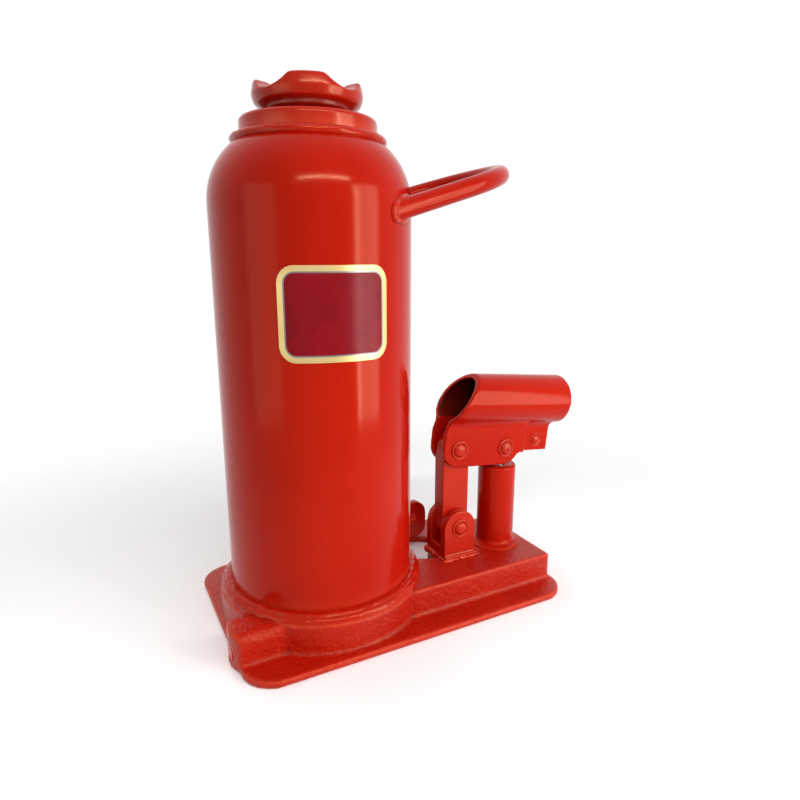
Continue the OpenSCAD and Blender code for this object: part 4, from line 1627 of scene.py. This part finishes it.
    def make(self, name: str, sizes: Sequence[float], at: Vector) -> Piece:
        """Makes one pin as a plain mesh.

        Args:
            name: Name of the piece.
            sizes: Values of the tree's inputs in metres, in their order.
            at: Middle of the pin, which lies along Y.

        Returns:
            The pin.
        """
        obj = add_object(name, bpy.data.meshes.new(name))
        tool = obj.modifiers.new("pin", "NODES")
        tool.node_group = self.tree
        sockets = [socket for socket in self.tree.interface.items_tree if socket.in_out == "INPUT"]
        for socket, value in zip(sockets, sizes):
            tool[socket.identifier] = value
        applied(obj)
        obj.data.transform(Matrix.Translation(at) @ Matrix.Rotation(math.radians(90), 4, "X"))
        return smooth_shade(obj, self.CREASE)


@dataclass
class PumpCylinder:
    """Pump cylinder with its flared foot, eased top edge and wiper groove."""

    center: Point = (126.0, -16.0)
    seat_z: float = CASTING_H
    radius: float = 13.0
    bore_r: float = 5.4
    bore_mouth: float = 0.5
    spigot_r: float = 11.0
    flare: tuple[Point, ...] = ((5.0, 0.0), (4.9, 0.7), (3.6, 1.3))
    fillet: float = 3.3
    fillet_gap: float = 0.1
    plain_low: float = 7.0
    plain_high: float = 14.0
    edge: float = 1.0
    slack: float = 0.05

    def barrel(self) -> Piece:
        """Turns the cylinder.

        Returns:
            The cylinder.
        """
        low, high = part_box("pump_cylinder")
        foot, top, seat = low.z / MM, high.z / MM, self.seat_z
        ring_low, ring_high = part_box("plunger_wiper")
        groove = (ring_high.x - ring_low.x) / 2 / MM + self.slack
        groove_low, groove_high = ring_low.z / MM - self.slack, ring_high.z / MM + self.slack
        r, edge, fillet, bore = self.radius, self.edge, self.fillet, self.bore_r
        flare_top = seat + self.flare[-1][1] + fillet
        profile = [(bore, foot), (self.spigot_r, foot), (self.spigot_r, seat)]
        profile += [(r + out, seat + up) for out, up in self.flare]
        profile += arc((r + fillet + self.fillet_gap, flare_top), fillet, 270, 180, steps=8)
        profile += [(r, seat + self.plain_low), (r, top - self.plain_high)]
        profile += arc((r - edge, top - edge), edge, 0, 90, steps=5)
        profile += [(bore + self.bore_mouth, top), (bore, top - self.bore_mouth)]
        profile += [(bore, groove_high), (groove, groove_high), (groove, groove_low), (bore, groove_low)]
        return lathe("pump_barrel", profile, segments=128, center=self.center)

    def build(self, finishes: Finishes) -> None:
        """Makes and dresses the cylinder from all finishes."""
        settle(self.barrel(), finishes.sheet, Body.JACK, Slot.ENAMEL, "pump_cylinder")


@dataclass
class LinkBracket:
    """Bracket, the weld round its foot, and the link that swings on it."""

    seat_z: float = CASTING_H
    near: float = 1.1
    far: float = 0.4
    drop: float = 0.5
    side_points: int = 22
    stray: float = 0.7
    weld_r: float = 2.3
    ripple: float = 0.2
    ripple_step: float = 1.9
    swell: float = 1.3
    stray_row: tuple[float, float, float] = (0.23, 3.1, 0.4)
    swell_row: tuple[float, float, float] = (0.19, 0.7, 0.2)
    voxel: float = 0.5
    ear_rounds: int = 7
    link_rounds: int = 6

    def weld(self) -> Piece:
        """Lays the weld bead round the bracket's foot.

        Returns:
            The bead.
        """
        low, high = (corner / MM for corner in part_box("link_bracket"))
        x0, x1 = low.x + self.far, high.x - self.near
        y0, y1 = low.y + self.near, high.y - self.far
        corners = [(x0, y0), (x1, y0), (x1, y1), (x0, y1)]
        path = []
        for (ax, ay), (bx, by) in zip(corners, corners[1:] + corners[:1]):
            for t in np.linspace(0, 1, self.side_points, endpoint=False):
                stray = self.stray * row_noise(len(path), self.stray_row)
                x, y = ax + t * (bx - ax) + stray, ay + t * (by - ay) + stray
                path.append((x, y, self.seat_z - self.drop))
        return sweep("bracket_weld", path, self._weld_radius, sides=16, closed=True)

    def _weld_radius(self, number: int) -> float:
        """Uneven radius of the weld at a point's number."""
        ripple = self.ripple * math.sin(self.ripple_step * number)
        return self.weld_r + ripple + self.swell * row_noise(number, self.swell_row)

    def build(self, finishes: Finishes) -> None:
        """Makes and dresses the bracket, its weld and the link.

        Args:
            finishes: All finishes.
        """
        dress_soft("link_bracket", "bracket_ears", self.voxel, self.ear_rounds, finishes.forged)
        settle(self.weld(), finishes.weld, Body.JACK, Slot.ENAMEL)
        dress_soft("link", "link_bar", self.voxel, self.link_rounds, finishes.forged, Body.LINK)


@dataclass
class HandleSocket:
    """Sheet-steel socket with fillets at its cheeks and painted shade in its bore."""

    tilt: float = 5.8
    sheet_t: float = 3.2
    side_fit: float = 0.3
    cheek_r: float = 12.1
    tab_bottom: float = -4.2
    tube_rise: float = 32.5
    tube_ir: float = 14.0
    bore_margin: float = 0.35
    fillet_r: float = 5.0
    fillet_root: tuple[Point, ...] = ((8.0, 2.0), (7.5, -0.8))
    voxel: float = 0.6
    rounds: int = 12

    @property
    def pin(self) -> Vector:
        """Middle of the pin that the socket swings on."""
        low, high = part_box("plunger_pin")
        return (low + high) / 2 / MM

    def cheek_fillets(self) -> list[Mesh]:
        """Shapes the fillets where the cheeks run into the pinched tab.

        Returns:
            One closed mesh for each cheek.
        """
        link_low, link_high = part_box("link")
        inner = (link_high.y - link_low.y) / 2 / MM + self.side_fit
        drop = self.tab_bottom - self.fillet_r
        center = (math.sqrt((self.cheek_r + self.fillet_r) ** 2 - drop ** 2), drop)
        start = math.degrees(math.atan2(-center[1], -center[0]))
        outline = arc(center, self.fillet_r, start, 90, steps=10)
        outline += [(center[0], self.tab_bottom + self.fillet_root[0][1])]
        outline += [(u, self.tab_bottom + up) for u, up in self.fillet_root]
        pin, tilt, count = self.pin, math.radians(self.tilt), len(outline)
        ends = [tuple(range(count)), tuple(range(2 * count - 1, count - 1, -1))]
        faces = ends + ring_faces(2, count, closed=False)
        made = []
        for side in (-1, 1):
            points = []
            for w in (inner, inner + self.sheet_t):
                for u, v in outline:
                    x = pin.x + u * math.cos(tilt) + v * math.sin(tilt)
                    z = pin.z - u * math.sin(tilt) + v * math.cos(tilt)
                    points.append((x, pin.y + side * w, z))
            made.append(mesh_from(f"cheek_fillet_{side}", np.array(points), faces))
        return made

    def shade_bore(self, sheet: Piece, finish: Material) -> None:
        """Gives the bore's faces a darker finish, as painted shade.

        Args:
            sheet: The socket's piece, already dressed.
            finish: Finish of the bore, its painted shade.
        """
        tilt = math.radians(self.tilt)
        mesh = sheet.data
        middles = np.zeros(3 * len(mesh.polygons), np.float32)
        mesh.polygons.foreach_get("center", middles)
        across = middles.reshape(-1, 3) / MM - np.array(self.pin)
        rise = across[:, 0] * math.sin(tilt) + across[:, 2] * math.cos(tilt) - self.tube_rise
        inside = np.hypot(across[:, 1], rise) < self.tube_ir + self.bore_margin
        # Faces inside the tube take the painted shade.
        mesh.materials.append(finish)
        mesh.polygons.foreach_set("material_index", inside.astype(np.int32))
        mesh.update()

    def build(self, finishes: Finishes) -> None:
        """Makes and dresses the socket.

        Args:
            finishes: All finishes.
        """
        sheet = soften("handle_socket", "socket_sheet", self.voxel, self.rounds, self.cheek_fillets())
        settle(sheet, finishes.sheet, Body.SOCKET, Slot.ENAMEL, "handle_socket")
        self.shade_bore(sheet, finishes.bore)


@dataclass
class LeverPins:
    """Three pins and the rivet, each with its shank's radius, its head's radius and its head's height."""

    pin: tuple[float, float, float] = (5.0, 6.4, 2.8)
    rivet: tuple[float, float, float] = (2.5, 4.6, 2.0)

    def build(self, finishes: Finishes) -> None:
        """Makes and dresses the pins and the rivet.

        Args:
            finishes: All finishes.
        """
        tree = PinTree(finishes.forged)
        rows = (("link_base_pin", Body.JACK, self.pin), ("link_socket_pin", Body.SOCKET, self.pin),
                ("plunger_pin", Body.SOCKET, self.pin), ("socket_rivet", Body.SOCKET, self.rivet))
        for node, body, (shank_r, head_r, head_h) in rows:
            low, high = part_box(node)
            half = (high.y - low.y) / 2 - head_h * MM
            sizes = (shank_r * MM, head_r * MM, head_h * MM, half)
            made = tree.make(node + "_turned", sizes, (low + high) / 2)
            settle(made, finishes.forged, body, Slot.ENAMEL, node)


@dataclass
class ReleaseValve:
    """Release screw with its thumb wing."""

    voxel: float = 0.4
    rounds: int = 6

    def build(self, finishes: Finishes) -> None:
        """Makes and dresses the release screw from all finishes."""
        name = "release_wing_screw"
        dress_soft("release_screw", name, self.voxel, self.rounds, finishes.forged, Body.RELEASE)


@dataclass
class InnerParts:
    """Solids that keep their own meshes and only take a finish."""

    painted_with_base: str = "relief_cap"

    def build(self, finishes: Finishes) -> None:
        """Gives every solid the finish of its slot, or of the base. Pieces made later hide some of them.

        Args:
            finishes: All finishes.
        """
        slots = {entry["node"]: Slot(entry["material_slot"]) for entry in frame["record"]["subparts"]}
        for node, obj in frame["nodes"].items():
            material = finishes.cast if node == self.painted_with_base else finishes.by_slot[slots[node]]
            obj.data.materials.clear()
            obj.data.materials.append(material)
            LOG.info("%s: %s", node, material.name)


# Studio, in metres


@dataclass
class Studio:
    """Pale floor, soft lamps and the camera."""

    lens: float = 27.56
    sensor_w: float = 36.0
    clip_start: float = 0.01
    spot: tuple[float, float, float] = (-0.1251, -0.34715, 0.2232)
    tilt: float = 13.38
    turn: float = -27.71
    aim: tuple[float, float, float] = (0.03, 0.0, 0.15)
    floor_half: float = 6.0
    floor_tone: float = 0.95
    floor_roughness: float = 0.9
    floor_specular: float = 0.1
    fade_start: float = 0.16
    fade_end: float = 0.50
    seen_strength: float = 1.0
    diffuse_strength: float = 0.10

    def camera(self) -> None:
        """Sets the camera where the photograph was taken from."""
        data = bpy.data.cameras.new("view")
        data.lens = self.lens
        data.sensor_width = self.sensor_w
        data.clip_start = self.clip_start
        obj = bpy.data.objects.new("view", data)
        obj.location = self.spot
        obj.rotation_euler = (math.radians(90 - self.tilt), 0.0, math.radians(self.turn))
        bpy.context.scene.collection.objects.link(obj)
        bpy.context.scene.camera = obj

    def lamp(
        self,
        name: str,
        bearing: float,
        reach: float,
        height: float,
        size: Point,
        power: float,
        mirrored: bool = True,
    ) -> None:
        """Hangs a soft box that faces the jack.

        Args:
            name: Name of the lamp.
            bearing: Bearing from the ram axis in degrees.
            reach: Distance from the ram axis.
            height: Height of the lamp.
            size: Width and height of its face.
            power: Power in watts.
            mirrored: Whether glossy faces mirror it.
        """
        data = bpy.data.lights.new(name, "AREA")
        data.shape = "RECTANGLE"
        data.size, data.size_y = size
        data.energy = power
        obj = bpy.data.objects.new(name, data)
        obj.visible_glossy = mirrored
        turn = math.radians(bearing)
        obj.location = (reach * math.cos(turn), reach * math.sin(turn), height)
        obj.rotation_euler = (Vector(self.aim) - obj.location).to_track_quat("-Z", "Y").to_euler()
        bpy.context.scene.collection.objects.link(obj)

    def lamps(self) -> None:
        """Hangs the lamps that draw the tank's streaks, and two that only lift the shade."""
        self.lamp("key_right", bearing=-50, reach=0.62, height=0.22, size=(0.32, 0.50), power=2.8)
        self.lamp("core_right", bearing=-62, reach=0.62, height=0.22, size=(0.05, 0.50), power=0.8)
        self.lamp("fill_left", bearing=-164, reach=0.62, height=0.22, size=(0.40, 0.50), power=0.8)
        self.lamp("arc_front", bearing=-94, reach=0.72, height=0.70, size=(0.80, 0.025), power=4.0)
        self.lamp("sky_box", bearing=115, reach=0.3, height=1.6, size=(1.5, 1.5), power=14.0, mirrored=False)
        self.lamp("rear_fill", bearing=105, reach=1, height=0.55, size=(0.8, 0.8), power=3.2, mirrored=False)

    def floor(self) -> None:
        """Lays the pale floor, which fades into the white surround away from the jack."""
        half = self.floor_half
        mesh = bpy.data.meshes.new("studio_floor")
        corners = [(-half, -half, 0), (half, -half, 0), (half, half, 0), (-half, half, 0)]
        mesh.from_pydata(corners, [], [(0, 1, 2, 3)])
        obj = add_object("studio_floor", mesh)
        made, tree, shader, place = start_material("studio_paper")
        shader.inputs["Base Color"].default_value = (self.floor_tone, self.floor_tone, self.floor_tone, 1)
        shader.inputs["Roughness"].default_value = self.floor_roughness
        shader.inputs["Specular IOR Level"].default_value = self.floor_specular
        far = tree.nodes.new("ShaderNodeVectorMath")
        far.operation = "LENGTH"
        wire(tree, (place, far.inputs[0]))
        fade = add_mask(tree, far.outputs["Value"], self.fade_end, self.fade_start)
        wire(tree, (fade, shader.inputs["Alpha"]))
        mesh.materials.append(made)

    def world(self) -> None:
        """Sets a white surround for the eye and for reflections, and a softer one for diffuse light."""
        world = bpy.data.worlds.new("studio_surround")
        bpy.context.scene.world = world
        world.use_nodes = True
        tree = world.node_tree
        light, seen = tree.nodes["Background"], tree.nodes.new("ShaderNodeBackground")
        for node, strength in ((light, self.diffuse_strength), (seen, self.seen_strength)):
            node.inputs["Color"].default_value = (1, 1, 1, 1)
            node.inputs["Strength"].default_value = strength
        path = tree.nodes.new("ShaderNodeLightPath")
        mix = tree.nodes.new("ShaderNodeMixShader")
        kinds = path.outputs["Is Camera Ray"]
        for other in ("Is Glossy Ray", "Is Transmission Ray"):
            either = tree.nodes.new("ShaderNodeMath")
            either.operation = "MAXIMUM"
            wire(tree, (kinds, either.inputs[0]), (path.outputs[other], either.inputs[1]))
            kinds = either.outputs[0]
        wire(
            tree,
            (kinds, mix.inputs[0]),
            (light.outputs[0], mix.inputs[1]),
            (seen.outputs[0], mix.inputs[2]),
            (mix.outputs[0], tree.nodes["World Output"].inputs["Surface"]),
        )

    def build(self) -> None:
        """Sets up the whole studio."""
        bpy.context.scene.view_settings.view_transform = "Standard"
        self.camera()
        self.floor()
        self.world()
        self.lamps()


def main() -> None:
    """Builds the jack in order."""
    logging.basicConfig(level=logging.INFO, format="%(name)s %(message)s")
    finishes = Finishes()
    Studio().build()
    kinds = (
        InnerParts, BaseCasting, OilTank, FillerPort, TankLabel, CarryHandle, Lift, PumpCylinder,
        LinkBracket, HandleSocket, LeverPins, ReleaseValve,
    )
    for kind in kinds:
        kind().build(finishes)
        LOG.info("%s done", kind.__name__)


if __name__ == "__main__":
    main()
